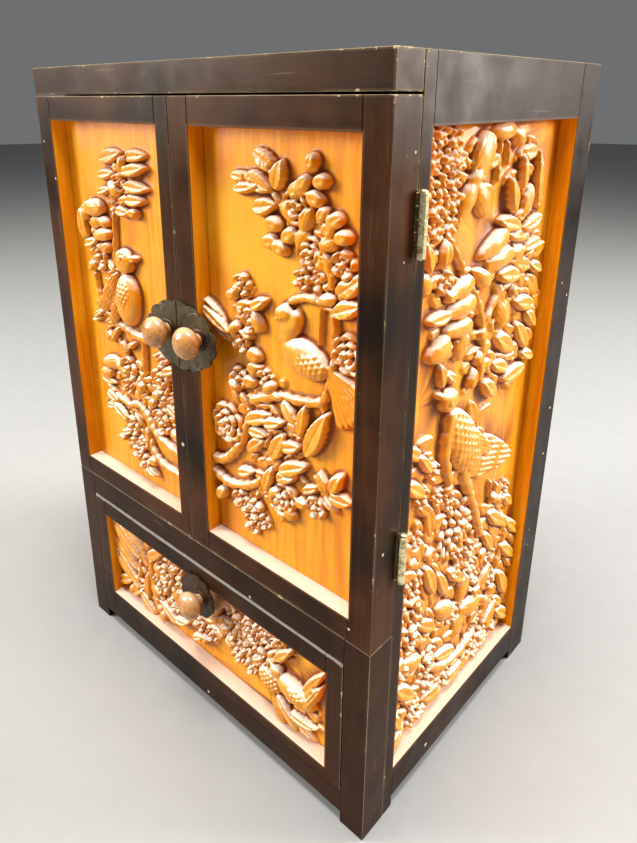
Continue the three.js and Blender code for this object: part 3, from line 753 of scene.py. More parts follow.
def carve_branch(relief, points, start, end):
    """A tapering stem along a smooth line, with grooved bark."""
    lift = 1.6
    curve = np.array(smooth_outline(points, 8))
    radii = np.linspace(start, end, len(curve)) * (1 + 0.12 * np.sin(1.7 * np.arange(len(curve))))
    middle = (curve.min(0) + curve.max(0)) / 2

    def form(x, y):
        inside = np.full(x.shape, -99.0)
        top = np.full(x.shape, lift)
        for k in range(len(curve) - 1):
            (u0, v0), (u1, v1) = curve[k] - middle, curve[k + 1] - middle
            du, dv = u1 - u0, v1 - v0
            size = math.hypot(du, dv)
            t = np.clip(((x - u0) * du + (y - v0) * dv) / size ** 2, 0, 1)
            radius = radii[k] + t * (radii[k + 1] - radii[k])
            away = np.hypot(x - u0 - t * du, y - v0 - t * dv)
            lateral = ((y - v0) * du - (x - u0) * dv) / size
            bark = 0.30 * np.cos(2 * np.pi * lateral / 1.25)
            height = lift + 0.9 * np.sqrt(np.clip(radius ** 2 - away ** 2, 0, None)) + bark
            closer = radius - away > inside
            inside = np.where(closer, radius - away, inside)
            top = np.where(closer, height, top)
        return top, inside

    reach = float(np.abs(curve - middle).max() + max(start, end))
    relief.add(middle[0], middle[1], 0, reach, lift, form)


def carve_head(relief, u, v, radius, toward):
    """A small bird's head: a ball, a pointed bill and an eye."""
    bill_u, bill_v = polar(u, v, 1.15 * radius, toward)
    relief.add(bill_u, bill_v, toward, radius, 4.2, leaf_form(1.1 * radius, 0.55 * radius, 4.2, 0.2))
    relief.add(u, v, 0, radius, 4.4, body_form(radius, 0.9 * radius, 3.4, 3.2))
    eye_u, eye_v = polar(u, v, 0.35 * radius, toward + math.degrees(0.9))
    relief.add(eye_u, eye_v, 0, radius, 7.6, bud_form(0.42 * radius, 0.42 * radius, 6.6, 0.9))


def carve_body(relief, u, v, half_length, half_width, degrees, height, pitch):
    lift = 2.2
    form = body_form(half_length, half_width, lift, height, pitch)
    relief.add(u, v, degrees, half_length, lift + 0.5 * height, form)


def carve_wing(relief, u, v, length, degrees, width, lift):
    relief.add(u, v, degrees, 0.5 * length, lift, wing_form(length, width, lift))


def carve_tail(relief, u, v, radius, degrees, spread, lift):
    relief.add(u, v, degrees, radius, lift, fan_form(radius, math.radians(spread), lift, 9))


# How each kind of form is carved, and the turn in degrees from one flower of the kind to the next.
CARVERS = {
    "thickets": (carve_thicket, None),
    "branches": (carve_branch, None),
    "leaves": (carve_leaf, None),
    "petals": (carve_petal, None),
    "blossoms": (carve_blossom, 37),
    "peonies": (carve_peony, 23),
    "asters": (carve_aster, None),
    "florets": (carve_florets, None),
    "buds": (carve_bud, None),
    "bodies": (carve_body, None),
    "wings": (carve_wing, None),
    "tails": (carve_tail, None),
    "heads": (carve_head, None),
}


def carve_all(relief, design):
    """Carves a design: lists of rows under the kind of form they place."""
    for kind, (carve, turn) in CARVERS.items():
        for k, row in enumerate(design.get(kind, ())):
            if turn is None:
                carve(relief, *row)
            else:
                carve(relief, *row, turn=turn * k)
    relief.cut()


def blur(values, passes):
    """A small separable blur, run a few times."""
    for _ in range(passes):
        padded = np.pad(values, 1, mode="edge")
        values = (padded[:-2, 1:-1] + 2 * padded[1:-1, 1:-1] + padded[2:, 1:-1]) / 4
        padded = np.pad(values, 1, mode="edge")
        values = (padded[1:-1, :-2] + 2 * padded[1:-1, 1:-1] + padded[1:-1, 2:]) / 4
    return values


# ---------------------------------------------------------------- the carved designs
# u runs to the right from the opening's left edge and v up from its lower edge, in mm. The rows hold
#   thickets: u, v, half length, half width, degrees, number of leaves, leaf length
#   branches: points, first radius, last radius
#   leaves, petals: u, v, length, degrees, width
#   blossoms, peonies, asters: u, v, radius
#   florets: u from, u to, v from, v to, pitch
#   buds: u, v, radius, degrees
#   bodies: u, v, half length, half width, degrees, height, pitch of the scales
#   wings: u, v, length, degrees, width, lift
#   tails: u, v, radius, degrees, spread in degrees, lift
#   heads: u, v, radius, degrees of the bill
RIGHT_DOOR = {
    "thickets": [
        (40, 80, 24, 9, -12, 20), (46, 66, 20, 11, 35, 22), (27, 128, 6, 16, 0, 12),
        (66, 180, 14, 9, -50, 16), (82, 155, 9, 14, 0, 14), (46, 42, 17, 9, 10, 16),
        (28, 22, 9, 8, 0, 10), (76, 53, 9, 8, 0, 8), (40, 99, 12, 9, 0, 10), (14, 68, 10, 9, 0, 8),
        (68, 119, 14, 7, 0, 8),
    ],
    "branches": [
        ([(45, 192), (56, 180), (68, 165), (80, 148), (83, 132), (81, 114), (76, 101), (62, 97), (48, 95),
          (32, 88)], 1.4, 2.8),
        ([(29, 81), (26, 71), (19, 57), (10, 47), (1, 44)], 2.2, 3.0),
        ([(66, 63), (52, 59), (44, 53), (35, 43), (24, 36), (12, 33), (1, 36)], 1.6, 3.2),
        ([(77, 99), (76, 90), (70, 74)], 1.6, 1.0),
        ([(62, 58), (70, 54), (82, 58)], 1.4, 1.1),
        ([(36, 40), (31, 30), (29, 20)], 1.4, 1.1),
        ([(77, 147), (66, 147), (58, 144), (53, 139)], 2.2, 1.6),
        ([(75, 145), (74, 128)], 1.1, 1.1),
        ([(30, 88), (36, 98), (34, 108)], 1.4, 1.1),
    ],
    "leaves": [
        (44, 203, 18, -28, 8), (39, 194, 17, -22, 9), (30, 195, 19, -8, 6), (31, 191, 17, 8, 5),
        (42, 184, 15, 10, 8), (51, 198, 14, 72, 9), (78, 160, 20, -74, 9), (90, 156, 20, 37, 9),
        (90, 147, 17, 22, 8), (29, 136, 15, 8, 6), (38, 139, 12, 30, 6), (4, 130, 23, -28, 6),
        (8, 125, 24, -28, 6), (11, 119, 20, -24, 5), (74, 84, 29, 64, 10), (65, 88, 18, 78, 7),
        (49, 69, 19, 62, 9), (58, 72, 13, 20, 7), (59, 61, 21, 27, 8), (55, 55, 18, 32, 8),
        (36, 80, 20, 25, 8), (33, 64, 18, 40, 7), (40, 70, 14, 62, 7), (42, 48, 18, 70, 7),
        (78, 61, 12, 118, 6), (86, 64, 13, 62, 7), (88, 56, 14, 4, 8), (36, 72, 14, 5, 6),
        (47, 81, 14, 20, 6), (26, 46, 13, 20, 6), (58, 90, 14, -50, 6), (69, 53, 12, 210, 5),
    ],
    "petals": [
        (66, 180, 13, 70, 8), (57, 183, 12, 130, 8), (62, 193, 14, 15, 8), (70, 167, 13, -35, 8),
        (64, 172, 12, 60, 8), (78, 172, 12, 20, 7), (79, 149, 10, 10, 6), (36, 130, 12, -60, 7),
        (20, 123, 10, 40, 6), (43, 98, 11, 35, 6), (19, 93, 9, -30, 6), (46, 40, 12, 60, 8),
        (56, 35, 11, -50, 7),
    ],
    "blossoms": [
        (26, 146, 5.5), (32, 129, 6.5), (24, 117, 6), (22, 97, 6), (64, 155, 4.8), (74, 156, 4.8),
        (87, 165, 6.2), (73, 45, 6), (21, 26, 6.5), (32, 25, 6), (29, 15, 6.2), (38, 20, 4.5),
        (41, 102, 5),
    ],
    "peonies": [(62, 186, 8.5), (69, 167, 7.5), (91, 127, 9.5), (12, 69, 11.5), (51, 40, 9)],
    "buds": [
        (70, 204, 3.8, 70), (75, 197, 3.8, 10), (72, 190, 4.2, -20), (66, 196, 3.6, 40),
        (82, 182, 4.2, 30), (87, 176, 3.9, 10), (79, 178, 3.6, -30), (48, 177, 4.2, -15),
        (46, 169, 4.2, 10), (52, 167, 4, -20), (57, 173, 4.2, 30), (76, 184, 3.4, 60), (33, 112, 4.6, 0),
        (34, 105, 4.6, -8), (31, 98, 4, 10), (6, 25, 4.2, 60), (52, 31, 3.8, 80), (65, 44, 3.4, 0),
        (20, 140, 3.4, 20), (29, 122, 3.4, 0),
    ],
    "bodies": [
        (57, 131, 11, 5.5, 62, 3.4, 0), (66, 119, 15, 9, -12, 4.8, 0), (70, 118, 11, 7.4, -12, 5.4, 2.5),
    ],
    "tails": [(77, 120, 31, -44, 58, 3.2)],
    "heads": [(55, 138, 5, 215)],
}

LEFT_DOOR = {
    "thickets": [
        (24, 158, 9, 17, 10, 18), (60, 184, 15, 12, 0, 18), (32, 108, 13, 12, 40, 16),
        (46, 72, 18, 9, 10, 18), (70, 66, 18, 12, 0, 18), (50, 28, 9, 18, 0, 14),
        (36, 46, 18, 7, -10, 14), (52, 176, 8, 8, 0, 8), (84, 84, 8, 14, 0, 10), (40, 128, 12, 12, 0, 10),
        (84, 50, 14, 9, 0, 12),
    ],
    "branches": [
        ([(50, 184), (46, 168), (44, 150), (42, 136)], 1.4, 1.8),
        ([(20, 130), (22, 118), (28, 109), (37, 104), (49, 100), (61, 98), (73, 99)], 1.6, 3.0),
        ([(65, 98), (64, 84), (62, 66), (62, 56)], 1.8, 2.2),
        ([(17, 62), (24, 57), (34, 52), (45, 50), (55, 53), (62, 50), (68, 43), (77, 37),
          (98, 32)], 1.6, 3.4),
        ([(61, 38), (67, 26), (77, 20), (98, 19)], 1.8, 3.2),
        ([(66, 55), (76, 47), (98, 42)], 1.6, 2.2),
        ([(34, 104), (38, 92), (46, 84)], 1.2, 1.0),
    ],
    "leaves": [
        (47, 199, 23, 12, 8), (70, 200, 22, 5, 7), (70, 193, 22, 9, 7), (42, 189, 17, 8, 6),
        (70, 184, 22, -2, 7), (68, 177, 19, 3, 7), (40, 180, 15, 12, 5), (57, 170, 14, -4, 6),
        (13, 158, 21, 104, 8), (20, 148, 15, 16, 6), (40, 136, 10, -32, 4), (20, 104, 15, 26, 4),
        (17, 100, 12, 18, 3.6), (36, 94, 17, 46, 5), (46, 85, 15, -70, 5), (53, 91, 11, 30, 4),
        (24, 61, 17, -6, 5), (28, 50, 16, -20, 6), (37, 43, 17, -24, 7), (60, 30, 15, 62, 6),
        (84, 98, 14, 20, 5), (90, 59, 15, -15, 6), (40, 30, 14, 200, 5), (65, 11, 12, -15, 5),
        (26, 44, 12, 10, 5), (90, 85, 15, 20, 6), (33, 116, 13, 60, 4),
    ],
    "petals": [
        (25, 169, 24, 5, 10), (26, 161, 15, 22, 9), (35, 162, 12, -16, 7), (32, 154, 20, 12, 8),
        (18, 165, 12, 60, 7), (27, 73, 23, 17, 10), (23, 66, 15, 10, 8), (56, 60, 12, 30, 8),
        (39, 74, 12, -20, 8), (50, 182, 12, -40, 7), (60, 194, 12, 90, 6), (92, 45, 13, -10, 8),
    ],
    "blossoms": [
        (54, 185, 5.6), (49, 174, 5), (27, 140, 8), (84, 92, 5.2), (48, 75, 8), (78, 48, 7.5),
        (46, 36, 7), (49, 22, 7), (57, 14, 6), (92, 67, 5.5), (44, 62, 5), (56, 27, 4.6),
    ],
    "peonies": [(82, 75, 11)],
    "buds": [
        (67, 170, 3.4, 0), (36, 147, 3.8, 30), (20, 134, 3.6, 40), (67, 19, 3.8, 0), (60, 66, 3.6, 70),
        (30, 92, 3.2, 60), (76, 66, 3.6, 20), (58, 176, 3.4, 20), (36, 25, 3.4, 0), (70, 59, 3.4, 40),
    ],
    "bodies": [(54, 119, 16, 11, 86, 5.2, 0), (54, 121, 12, 8.6, 86, 5.9, 2.6)],
    "wings": [(36, 121, 30, 57, 11, 3.4), (42, 112, 22, 66, 8, 4.0)],
    "heads": [(54, 142, 8, 15)],
}

DRAWER = {
    "thickets": [
        (58, 40, 20, 16, 0, 26), (52, 12, 18, 10, 0, 18), (130, 38, 34, 9, 24, 30),
        (16, 34, 20, 26, 0, 30), (172, 16, 18, 12, 0, 18), (96, 22, 16, 7, 10, 12),
        (156, 50, 14, 10, 30, 12), (34, 54, 16, 10, -30, 12),
    ],
    "branches": [
        ([(33, 64), (40, 48), (41, 30), (45, 14), (52, 4)], 2.4, 3.6),
        ([(27, 36), (24, 22), (14, 6)], 2.0, 3.0),
        ([(66, 27), (90, 23), (113, 33), (137, 43), (158, 52)], 1.6, 2.4),
        ([(139, 24), (154, 34), (164, 46)], 1.6, 1.4),
    ],
    "leaves": [
        (14, 50, 40, -32, 10), (22, 58, 34, -34, 8), (10, 38, 38, -34, 10), (12, 24, 38, -34, 10),
        (28, 46, 26, -40, 8), (8, 12, 24, 30, 8), (22, 10, 26, 42, 7), (34, 20, 26, 84, 7),
        (33, 6, 22, -35, 7), (47, 53, 24, 36, 8), (52, 58, 20, 25, 7), (154, 40, 22, 50, 7),
        (163, 48, 20, 48, 6), (147, 60, 20, 30, 7), (120, 25, 18, -20, 6), (104, 27, 16, 20, 5),
        (60, 14, 18, -25, 7), (70, 13, 16, 15, 6), (160, 8, 24, -62, 6), (167, 9, 24, -42, 6),
        (175, 6, 26, -18, 6), (178, 12, 22, 8, 6), (155, 13, 20, -82, 6), (184, 42, 30, 58, 6),
        (112, 52, 16, 20, 5), (88, 12, 14, 30, 5),
    ],
    "petals": [(160, 57, 14, 40, 8), (50, 41, 13, 150, 9), (66, 31, 13, -60, 9), (46, 24, 14, 80, 9)],
    "blossoms": [
        (69, 53, 7.5), (50, 31, 8), (74, 38, 7), (64, 22, 6), (89, 23, 5.5), (100, 21, 5.5), (117, 37, 8),
        (127, 44, 7.5), (131, 29, 6), (125, 21, 5), (145, 33, 7.5), (136, 20, 5), (158, 54, 7),
        (118, 52, 5), (138, 58, 6),
    ],
    "peonies": [(58, 43, 12), (138, 48, 9.5), (149, 53, 8)],
    "buds": [(95, 15, 3.4), (81, 26, 3.2), (107, 44, 3.4), (110, 28, 3.6, 40), (84, 40, 4), (104, 36, 3.4)],
    "bodies": [
        (172, 28, 15, 8, -6, 5.2, 0), (174, 29, 10, 5.6, -6, 5.8, 2.4), (152, 23, 10, 8, -50, 4.2, 2.4),
    ],
    "wings": [(186, 36, 22, 62, 7, 4.2)],
    "heads": [(158, 34, 4.6, 150)],
}

SIDE = {
    "thickets": [
        (24, 300, 15, 24, 0, 22, 14), (50, 303, 16, 18, 0, 10, 15), (98, 292, 18, 26, 0, 14, 16),
        (96, 262, 32, 15, 0, 16, 18), (42, 244, 22, 20, 0, 16, 16), (106, 226, 26, 26, -30, 18, 20),
        (22, 268, 12, 12, 0, 7, 13), (98, 200, 26, 12, -15, 12, 18), (62, 160, 24, 30, -30, 14, 20),
        (14, 170, 12, 18, -40, 9, 17), (30, 128, 18, 22, -50, 13, 18), (30, 86, 24, 26, -55, 18, 20),
        (104, 92, 24, 24, -42, 16, 21), (70, 66, 28, 28, -40, 20, 20), (118, 58, 36, 17, -55, 17, 22),
        (30, 34, 30, 30, -45, 24, 22), (84, 26, 30, 30, -30, 24, 22), (124, 20, 18, 16, -50, 10, 20),
        (64, 10, 60, 8, 0, 22, 17), (66, 212, 12, 16, 0, 8, 14),
    ],
    "branches": [
        ([(30, 279), (42, 265), (53, 252), (62, 241), (69, 222), (69, 202)], 1.8, 3.0),
        ([(98, 281), (92, 262), (82, 246), (71, 232)], 1.3, 2.2),
        ([(70, 320), (69, 309), (69, 300)], 1.4, 1.6),
        ([(77, 318), (78, 307)], 1.2, 1.3),
        ([(42, 190), (40, 170), (46, 152), (50, 136)], 3.6, 3.0),
        ([(60, 150), (70, 132), (80, 114), (88, 98)], 4.2, 3.0),
        ([(122, 82), (116, 64), (110, 46), (98, 28), (80, 21), (60, 22), (44, 32), (38, 44)], 3.0, 3.6),
        ([(4, 82), (20, 66), (38, 54), (52, 42)], 2.2, 1.8),
        ([(118, 88), (130, 74), (138, 66)], 2.4, 2.8),
        ([(96, 128), (98, 114)], 1.6, 1.2),
        ([(103, 124), (106, 108)], 1.6, 1.2),
    ],
    "leaves": [
        (84, 292, 20, 112, 9), (93, 302, 18, 96, 8), (99, 311, 22, 2, 8), (112, 298, 30, 98, 9),
        (102, 288, 18, 62, 8), (86, 278, 26, -14, 8), (98, 271, 26, -12, 8), (110, 276, 22, 14, 7),
        (113, 264, 21, 8, 7), (89, 252, 25, -9, 9), (106, 254, 25, -12, 8), (122, 250, 17, -20, 7),
        (13, 273, 15, 110, 7), (25, 273, 13, 82, 7), (25, 244, 19, 0, 7), (32, 214, 14, 108, 8),
        (41, 210, 13, -35, 6), (112, 232, 25, -14, 9), (114, 212, 28, -47, 10), (95, 213, 25, -30, 10),
        (106, 194, 27, 4, 9), (80, 192, 19, -40, 9), (92, 201, 22, -22, 8), (122, 221, 20, -40, 8),
        (121, 200, 18, -20, 7), (12, 181, 23, -36, 7), (21, 172, 19, -50, 6), (13, 162, 22, -38, 8),
        (34, 97, 27, -64, 9), (47, 87, 25, -60, 8), (24, 88, 22, -55, 7), (106, 99, 27, -40, 9),
        (99, 86, 25, -54, 8), (122, 104, 18, -40, 7), (132, 80, 30, -40, 8), (128, 64, 32, -42, 8),
        (116, 92, 22, -38, 8), (126, 40, 30, -60, 10), (110, 22, 26, 44, 11), (130, 14, 24, -38, 9),
        (16, 35, 27, -45, 9), (24, 24, 26, -38, 8), (9, 20, 20, -60, 7), (48, 10, 26, -14, 9),
        (28, 10, 26, 12, 8), (88, 9, 24, 18, 8), (105, 8, 24, -8, 8), (68, 8, 24, 6, 8),
        (90, 42, 20, 58, 7), (36, 66, 24, -38, 8), (62, 84, 24, -42, 8), (76, 92, 22, -36, 7),
        (56, 34, 24, -20, 8), (134, 52, 22, -50, 7), (8, 8, 20, 24, 7), (124, 26, 20, -46, 7),
        (60, 204, 12, 70, 5),
    ],
    "petals": [
        (52, 311, 25, 58, 16), (41, 294, 18, 56, 11), (56, 293, 20, -46, 13), (46, 303, 12, 20, 8),
        (71, 322, 20, 2, 9), (84, 319, 13, -30, 8), (70, 270, 28, 20, 11), (80, 261, 27, 4, 12),
        (96, 262, 20, -8, 9), (41, 254, 25, 9, 10), (42, 245, 27, 5, 11), (42, 235, 25, -3, 10),
        (47, 225, 17, 88, 13), (26, 228, 19, 10, 13), (13, 261, 13, 130, 9), (88, 232, 19, -50, 14),
        (72, 68, 19, 80, 13), (52, 66, 21, -35, 12), (82, 50, 25, -15, 14), (70, 42, 21, 68, 13),
        (88, 228, 12, 40, 8), (60, 256, 18, -30, 9), (22, 50, 20, -30, 11), (98, 60, 18, 40, 10),
    ],
    "blossoms": [
        (28, 259, 6), (30, 164, 5), (22, 154, 5.5), (47, 144, 4.6), (50, 136, 4.6), (37, 147, 4.2),
        (115, 116, 5), (84, 66, 6.5), (62, 56, 6), (104, 72, 6), (20, 130, 4.4), (60, 12, 5.5),
        (40, 22, 6), (78, 78, 6), (110, 54, 5.5), (12, 48, 6),
    ],
    "florets": [
        (10, 36, 284, 325, 9.2), (10, 28, 76, 104, 9), (88, 112, 6, 18, 9), (60, 74, 88, 100, 8.5),
        (24, 34, 8, 20, 8.5),
    ],
    "peonies": [(20, 70, 12), (38, 40, 9.5), (118, 10, 7)],
    "asters": [(60, 115, 19), (94, 30, 7)],
    "buds": [
        (40, 196, 3.6, 40), (64, 214, 3.4, 60), (74, 208, 3.4, 120), (96, 242, 3.6, 0), (32, 252, 3.4, 0),
        (100, 116, 3.2, 60), (107, 112, 3.2, 30), (46, 147, 3.6, 0), (8, 60, 4), (92, 82, 3.8, 30),
        (66, 226, 3.2, 80), (73, 218, 3.2, 100), (88, 58, 3.8, 20), (30, 116, 3.4, 40), (16, 118, 3.4, 0),
    ],
    "bodies": [(58, 168, 28, 12.5, -55, 5.0, 3.6)],
    "wings": [(86, 150, 64, -20, 25, 3.2), (70, 164, 40, -30, 15, 4.4)],
    "heads": [(38, 200, 7, 150)],
}


# ---------------------------------------------------------------- carved panels
def panel_places(node):
    """The panel's left lower front corner, its across and out directions, and its width and height."""
    low, high = node_box(node)
    if node.startswith("side"):
        outward = 1 if high[0] > 0 else -1
        corner = Vector((outward * (SIDE_X - RECESS), low[1], low[2]))
        return corner, Vector((0, 1, 0)), Vector((outward, 0, 0)), high[1] - low[1], high[2] - low[2]
    corner = Vector((low[0], FRONT_Y + RECESS, low[2]))
    return corner, Vector((1, 0, 0)), Vector((0, -1, 0)), high[0] - low[0], high[2] - low[2]


def soften(heights):
    """Rounds the carving a little and ripples it faintly where it is raised."""
    ripple = blur(np.random.default_rng(7).standard_normal(heights.shape), 6)
    heights = blur(heights, 1)
    heights = heights + 0.06 * np.clip(heights - 0.3, 0, 1) * ripple / ripple.std()
    return np.clip(heights, -0.3, HIGHEST)


def cuts_in(heights):
    """How far each point lies below what is round it, from 0 to 1: where the carved material paints shade in
    the cuts and on the ground beside tall forms.
    """
    around = blur(heights, 14)
    broad = blur(around, 60)
    close = np.clip((around - heights) / 1.6, 0, 1)
    wide = 0.45 * np.clip((broad - heights) / 3.0, 0, 1)
    return np.maximum(close, wide)


def panel_mesh(node, relief, heights):
    """The carved surface with straight sides and a flat back, and the number of points on the back."""
    corner, across, out, _, _ = panel_places(node)
    u, v = np.meshgrid(relief.u * MM, relief.v * MM)
    grid = (np.array(corner) + u[..., None] * np.array(across) + v[..., None] * np.array((0, 0, 1))
            + (heights * MM)[..., None] * np.array(out))
    points = grid.reshape(-1, 3)
    rows, columns = heights.shape
    index = np.arange(rows * columns).reshape(rows, columns)
    quads = np.stack([index[:-1, :-1], index[:-1, 1:], index[1:, 1:], index[1:, :-1]], -1).reshape(-1, 4)
    edge = np.concatenate([index[0, :], index[1:, -1], index[-1, -2::-1], index[-2:0:-1, 0]])

    back = points[edge]
    low, high = node_box(node)
    if node.startswith("side"):
        back[:, 0] = low[0] if high[0] > 0 else high[0]
    else:
        back[:, 1] = high[1]
    ring = len(points) + np.arange(len(edge))
    skirts = np.stack([edge, ring, np.roll(ring, -1), np.roll(edge, -1)], -1)
    faces = [tuple(face) for face in skirts] + [tuple(ring[::-1])]
    if np.dot(np.cross(np.array(across), (0, 0, 1)), np.array(out)) < 0:
        quads = quads[:, ::-1]
        faces = [face[::-1] for face in faces]
    mesh = mesh_from_arrays("carved_" + node, np.concatenate([points, back]), quads, faces)
    return mesh, len(edge)


def make_panel(node, body, design, material, step=STEP):
    """A carved panel on a grid of step mm. It carries what the material reads at each point."""
    _, _, _, width, height = panel_places(node)
    relief = Relief(width / MM, height / MM, step)
    carve_all(relief, design)
    heights = soften(relief.heights)
    mesh, back_points = panel_mesh(node, relief, heights)
    readings = {
        "rise": np.clip(heights / 7.0, 0, 1),
        # painted shade for the carved material
        "painted_cavity_shade": cuts_in(heights),
        "front": np.ones_like(heights),
    }
    for name, values in readings.items():
        layer = mesh.attributes.new(name, "FLOAT", "POINT")
        filled = np.concatenate([values.ravel(), np.zeros(back_points)])
        layer.data.foreach_set("value", filled.astype(np.float32))
    piece = new_object("carved_" + node, mesh, body, material)
    thin = piece.modifiers.new("thin", "DECIMATE")
    thin.ratio = KEPT_FACES
    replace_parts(piece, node)


# ---------------------------------------------------------------- knobs, plates and screws
def knob_outline(radius, length):
    """A short neck with a bead, then a flattened round cap."""
    half_cap = radius * 2 / 3
    middle = length - half_cap
    outline = [(3.6, 0), (3.2, 0.6), (3.2, 1.2), (3.8, 1.7), (4.3, 2.2), (4.5, 2.8)]
    for degrees in range(-54, 73, 9):
        turn = math.radians(degrees)
        outline.append((radius * math.cos(turn), middle + half_cap * math.sin(turn)))
    return [(0, 0), *outline, (radius * 0.16, length - 0.03), (0, length)]


def make_knob(node, body):
    low, high = node_box(node)
    centre = ((low[0] + high[0]) / 2, high[1], (low[2] + high[2]) / 2)
    outline = knob_outline((high[0] - low[0]) / 2 / MM, (high[1] - low[1]) / MM)
    mesh = lathe_mesh("turned_" + node, outline, centre)
    material = turned_wood("turned_wood_" + node, centre[0], centre[2])
    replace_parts(new_object("turned_" + node, mesh, body, material), node)


def make_collar(name, node, body, metal):
    """A thin dished ring under a knob, against its plate."""
    low, high = node_box(node)
    centre = ((low[0] + high[0]) / 2, high[1] + 0.2 * MM, (low[2] + high[2]) / 2)
    outline = [(0, 0), (5.6, 0), (5.9, 0.25), (5.6, 0.6), (4.6, 0.75), (3.9, 0.7), (0, 0.65)]
    mesh = lathe_mesh(name, outline, centre, 48)
    new_object(name, mesh, body, metal)


def make_screw(name, place, direction, body, metal, radius):
    """A countersunk slotted screw head, radius in mm. Its face lies at place and looks along direction."""
    depth, dome, slot_half, slot_depth = 0.7, 0.10, 0.22, 0.3
    bm = bmesh.new()
    made = bmesh.ops.create_cone(bm, cap_ends=True, segments=24, radius1=radius * 0.6, radius2=radius,
                                 depth=depth)
    bmesh.ops.translate(bm, verts=made["verts"], vec=(0, 0, -depth / 2))
    top = [f for f in bm.faces if f.normal.z > 0.9][0]
    bmesh.ops.inset_region(bm, faces=[top], thickness=radius * 0.12)
    bmesh.ops.translate(bm, verts=list(top.verts), vec=(0, 0, dome))
    # the slot: two cuts across the head, and the strip between them pushed in
    for sign in (-1, 1):
        geometry = list(bm.verts) + list(bm.edges) + list(bm.faces)
        bmesh.ops.bisect_plane(bm, geom=geometry, plane_co=(0, sign * slot_half, 0), plane_no=(0, 1, 0))
    strip = [f for f in bm.faces if f.normal.z > 0.9 and abs(f.calc_center_median().y) < slot_half * 0.9
             and abs(f.calc_center_median().x) < radius * 0.85]
    pushed = bmesh.ops.extrude_face_region(bm, geom=strip)
    moved = [v for v in pushed["geom"] if isinstance(v, bmesh.types.BMVert)]
    bmesh.ops.translate(bm, verts=moved, vec=(0, 0, -slot_depth))
    bmesh.ops.delete(bm, geom=strip, context="FACES_ONLY")
    turn = Vector(direction).to_track_quat("Z", "Y").to_matrix().to_4x4()
    bm.transform(Matrix.Translation(Vector(place)) @ turn @ Matrix.Scale(MM, 4))
    mesh = bpy.data.meshes.new(name)
    bm.to_mesh(mesh)
    bm.free()
    new_object(name, mesh, body, metal)


# ---------------------------------------------------------------- finishing the case
SLACK = 0.45 * MM  # how much wider the varnished openings are than their panels, over the frame's gaps
SKIN = 0.35 * MM  # lacquer on the arris round an opening, which the varnish leaves
REACH = 30 * MM  # from the frame's face to well behind the panels


def opening_box(panel):
    """The air in front of a carved panel, from just under the frame's face to well behind the panel."""
    low, high = (corner.copy() for corner in node_box(panel))
    low -= SLACK
    high += SLACK
    if not panel.startswith("side"):
        low[1], high[1] = FRONT_Y + SKIN, FRONT_Y + REACH
    elif high[0] > 0:
        low[0], high[0] = SIDE_X - REACH, SIDE_X - SKIN
    else:
        low[0], high[0] = -SIDE_X + SKIN, -SIDE_X + REACH
    return low, high


def grain_of(name):
    low, high = node_box(name)
    return "xyz"[int(np.argmax(high - low))]


# Members that wear as one piece of furniture: how their names begin. The other members wear singly.
FRAME_GROUPS = {
    "door_right": ("door_right_",),
    "door_left": ("door_left_",),
    "drawer_front": ("drawer_front_",),
    "side_right": ("side_right_",),
    "side_left": ("side_left_",),
    "front": ("front_post_", "front_middle_rail", "front_bottom_rail"),
}


def group_box(members):
    """The box round several nodes."""
    boxes = [node_box(name) for name in members]
    return np.min([low for low, _ in boxes], axis=0), np.max([high for _, high in boxes], axis=0)


def slot_of(name):
    return next(part["material_slot"] for part in frame["record"]["subparts"] if part["node"] == name)


def set_material(node, material):
    node.data.materials.clear()
    node.data.materials.append(material)


# The panel that a group's members stand round, and how brown the lacquer of a group or member has turned.
PANEL_OF = {
    "door_right": "door_right_panel",
    "door_left": "door_left_panel",
    "drawer_front": "drawer_panel",
    "side_right": "side_right_panel",
    "side_left": "side_left_panel",
}
REDNESS = {
    "door_right": 1.0,
    "door_left": 0.9,
    "drawer_front": 0.55,
    "front": 0.5,
    "front_top_rail": 0.6,
}
OTHER_REDNESS = 0.3


def paint_frames():
    openings = {group: opening_box(panel) for group, panel in PANEL_OF.items()}
    lacquered = [name for name in NODES if slot_of(name) == "lacquered_wood"]
    for name in lacquered:
        group = next((key for key, starts in FRAME_GROUPS.items() if name.startswith(starts)), name)
        members = [other for other in lacquered if other.startswith(FRAME_GROUPS.get(group, (name,)))]
        material = lacquered_wood(name, group_box(members), grain_of(name), openings.get(group),
                                  redness=REDNESS.get(group, OTHER_REDNESS),
                                  wear=1.3 if name.startswith("front") else 1.0,
                                  # the drawer front gets a painted highlight under its top arris
                                  strip=group == "drawer_front",
                                  nicked=name.endswith(("back_post", "outer_stile")))
        set_material(NODES[name], material)
        add_bevel(NODES[name], 0.25 * MM)


def paint_boards():
    for name, node in NODES.items():
        if slot_of(name) == "bare_wood":
            set_material(node, plain_board(name, grain_of(name)))
            add_bevel(node, 0.4 * MM, 2)


def finish_metal():
    brass = old_brass("old_brass")
    for name, node in NODES.items():
        slot = slot_of(name)
        if slot == "brass":
            set_material(node, brass)
            add_bevel(node, 0.12 * MM, 2)
        elif slot == "dark_plate":
            tone = RED_BROWN if name.startswith("drawer") else OLIVE_BROWN
            set_material(node, dark_plate("dark_" + name, *node_box(name), tone))
            add_bevel(node, 0.35 * MM, 3)
    return brass


PROUD = 0.02 * MM  # how far the screws' faces stand out of the metal and the wood


def leaf_face_y(side, leaf):
    """Where the face that a hinge leaf shows lies: on the case's front or on the door's back."""
    if leaf == "case":
        return node_box(f"side_{side}_front_stile")[0][1]
    return node_box(f"door_{side}_outer_stile")[1][1]


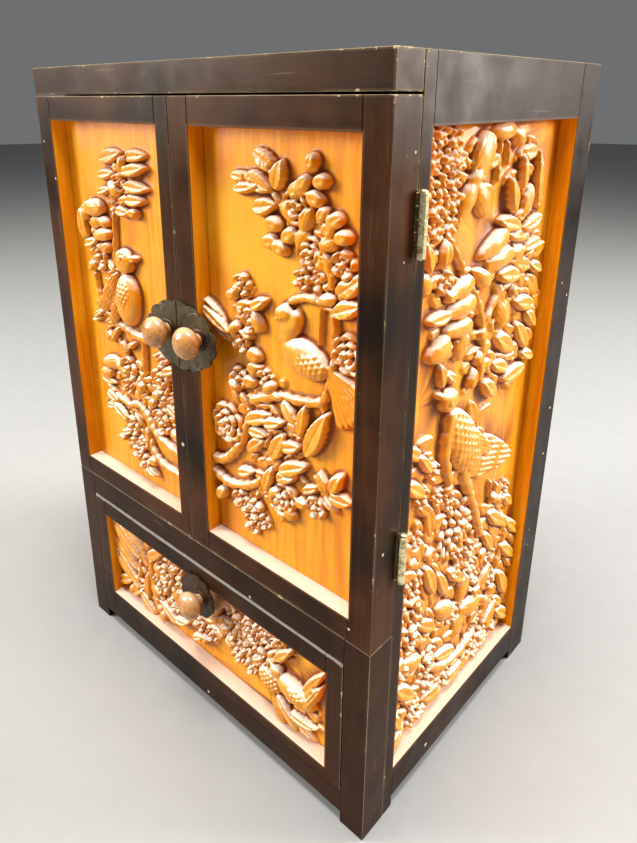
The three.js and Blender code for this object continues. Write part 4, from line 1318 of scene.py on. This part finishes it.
def add_hinge_screws(brass):
    """Three screws in every hinge leaf, in a zigzag, seen only when a door stands open."""
    near, far = 3.4 * MM, 5.6 * MM
    for side, sign in (("right", 1), ("left", -1)):
        for level in ("lower", "upper"):
            for leaf, body, look in (("case", "case", -1), ("door", side + "_door", 1)):
                low, high = node_box(f"hinge_{side}_{level}_{leaf}_leaf")
                inner = low[0] if side == "right" else high[0]
                y = leaf_face_y(side, leaf) + look * PROUD
                for k in range(3):
                    x = inner + sign * (near if k % 2 else far)
                    z = low[2] + (0.2 + 0.3 * k) * (high[2] - low[2])
                    make_screw(f"screw_{side}_{level}_{leaf}_{k}", (x, y, z), (0, look, 0), body, brass, 1.3)


def add_strip_screws(brass):
    """Five screws along each key hook strip, over its hooks."""
    thickness, over_hooks, count = 1.6 * MM, 2.5 * MM, 5
    for level in ("upper", "lower"):
        low, high = node_box(f"key_hook_strip_{level}")
        y = high[1] - thickness - PROUD
        z = (low[2] + high[2]) / 2 + over_hooks
        for k in range(count):
            x = low[0] + (k + 1) * (high[0] - low[0]) / (count + 1)
            make_screw(f"screw_strip_{level}_{k}", (x, y, z), (0, -1, 0), "case", brass, 1.6)


KNOB_BODIES = {"door_right_knob": "right_door", "door_left_knob": "left_door", "drawer_knob": "drawer"}


def add_knobs():
    dark = dark_plate("dark_collar", *node_box("drawer_knob_plate"), RED_BROWN)
    for knob, body in KNOB_BODIES.items():
        make_knob(knob, body)
        make_collar("collar_" + knob, knob, body, dark)


# ---------------------------------------------------------------- build
make_camera()
make_floor()
make_lights()
CARVED = carved_wood("carved_camphor_wood")
make_panel("door_right_panel", "right_door", RIGHT_DOOR, CARVED)
make_panel("door_left_panel", "left_door", LEFT_DOOR, CARVED)
make_panel("drawer_panel", "drawer", DRAWER, CARVED)
make_panel("side_right_panel", "case", SIDE, CARVED, SIDE_STEP)
make_panel("side_left_panel", "case", SIDE, CARVED, SIDE_STEP)
paint_frames()
paint_boards()
BRASS = finish_metal()
add_knobs()
add_hinge_screws(BRASS)
add_strip_screws(BRASS)
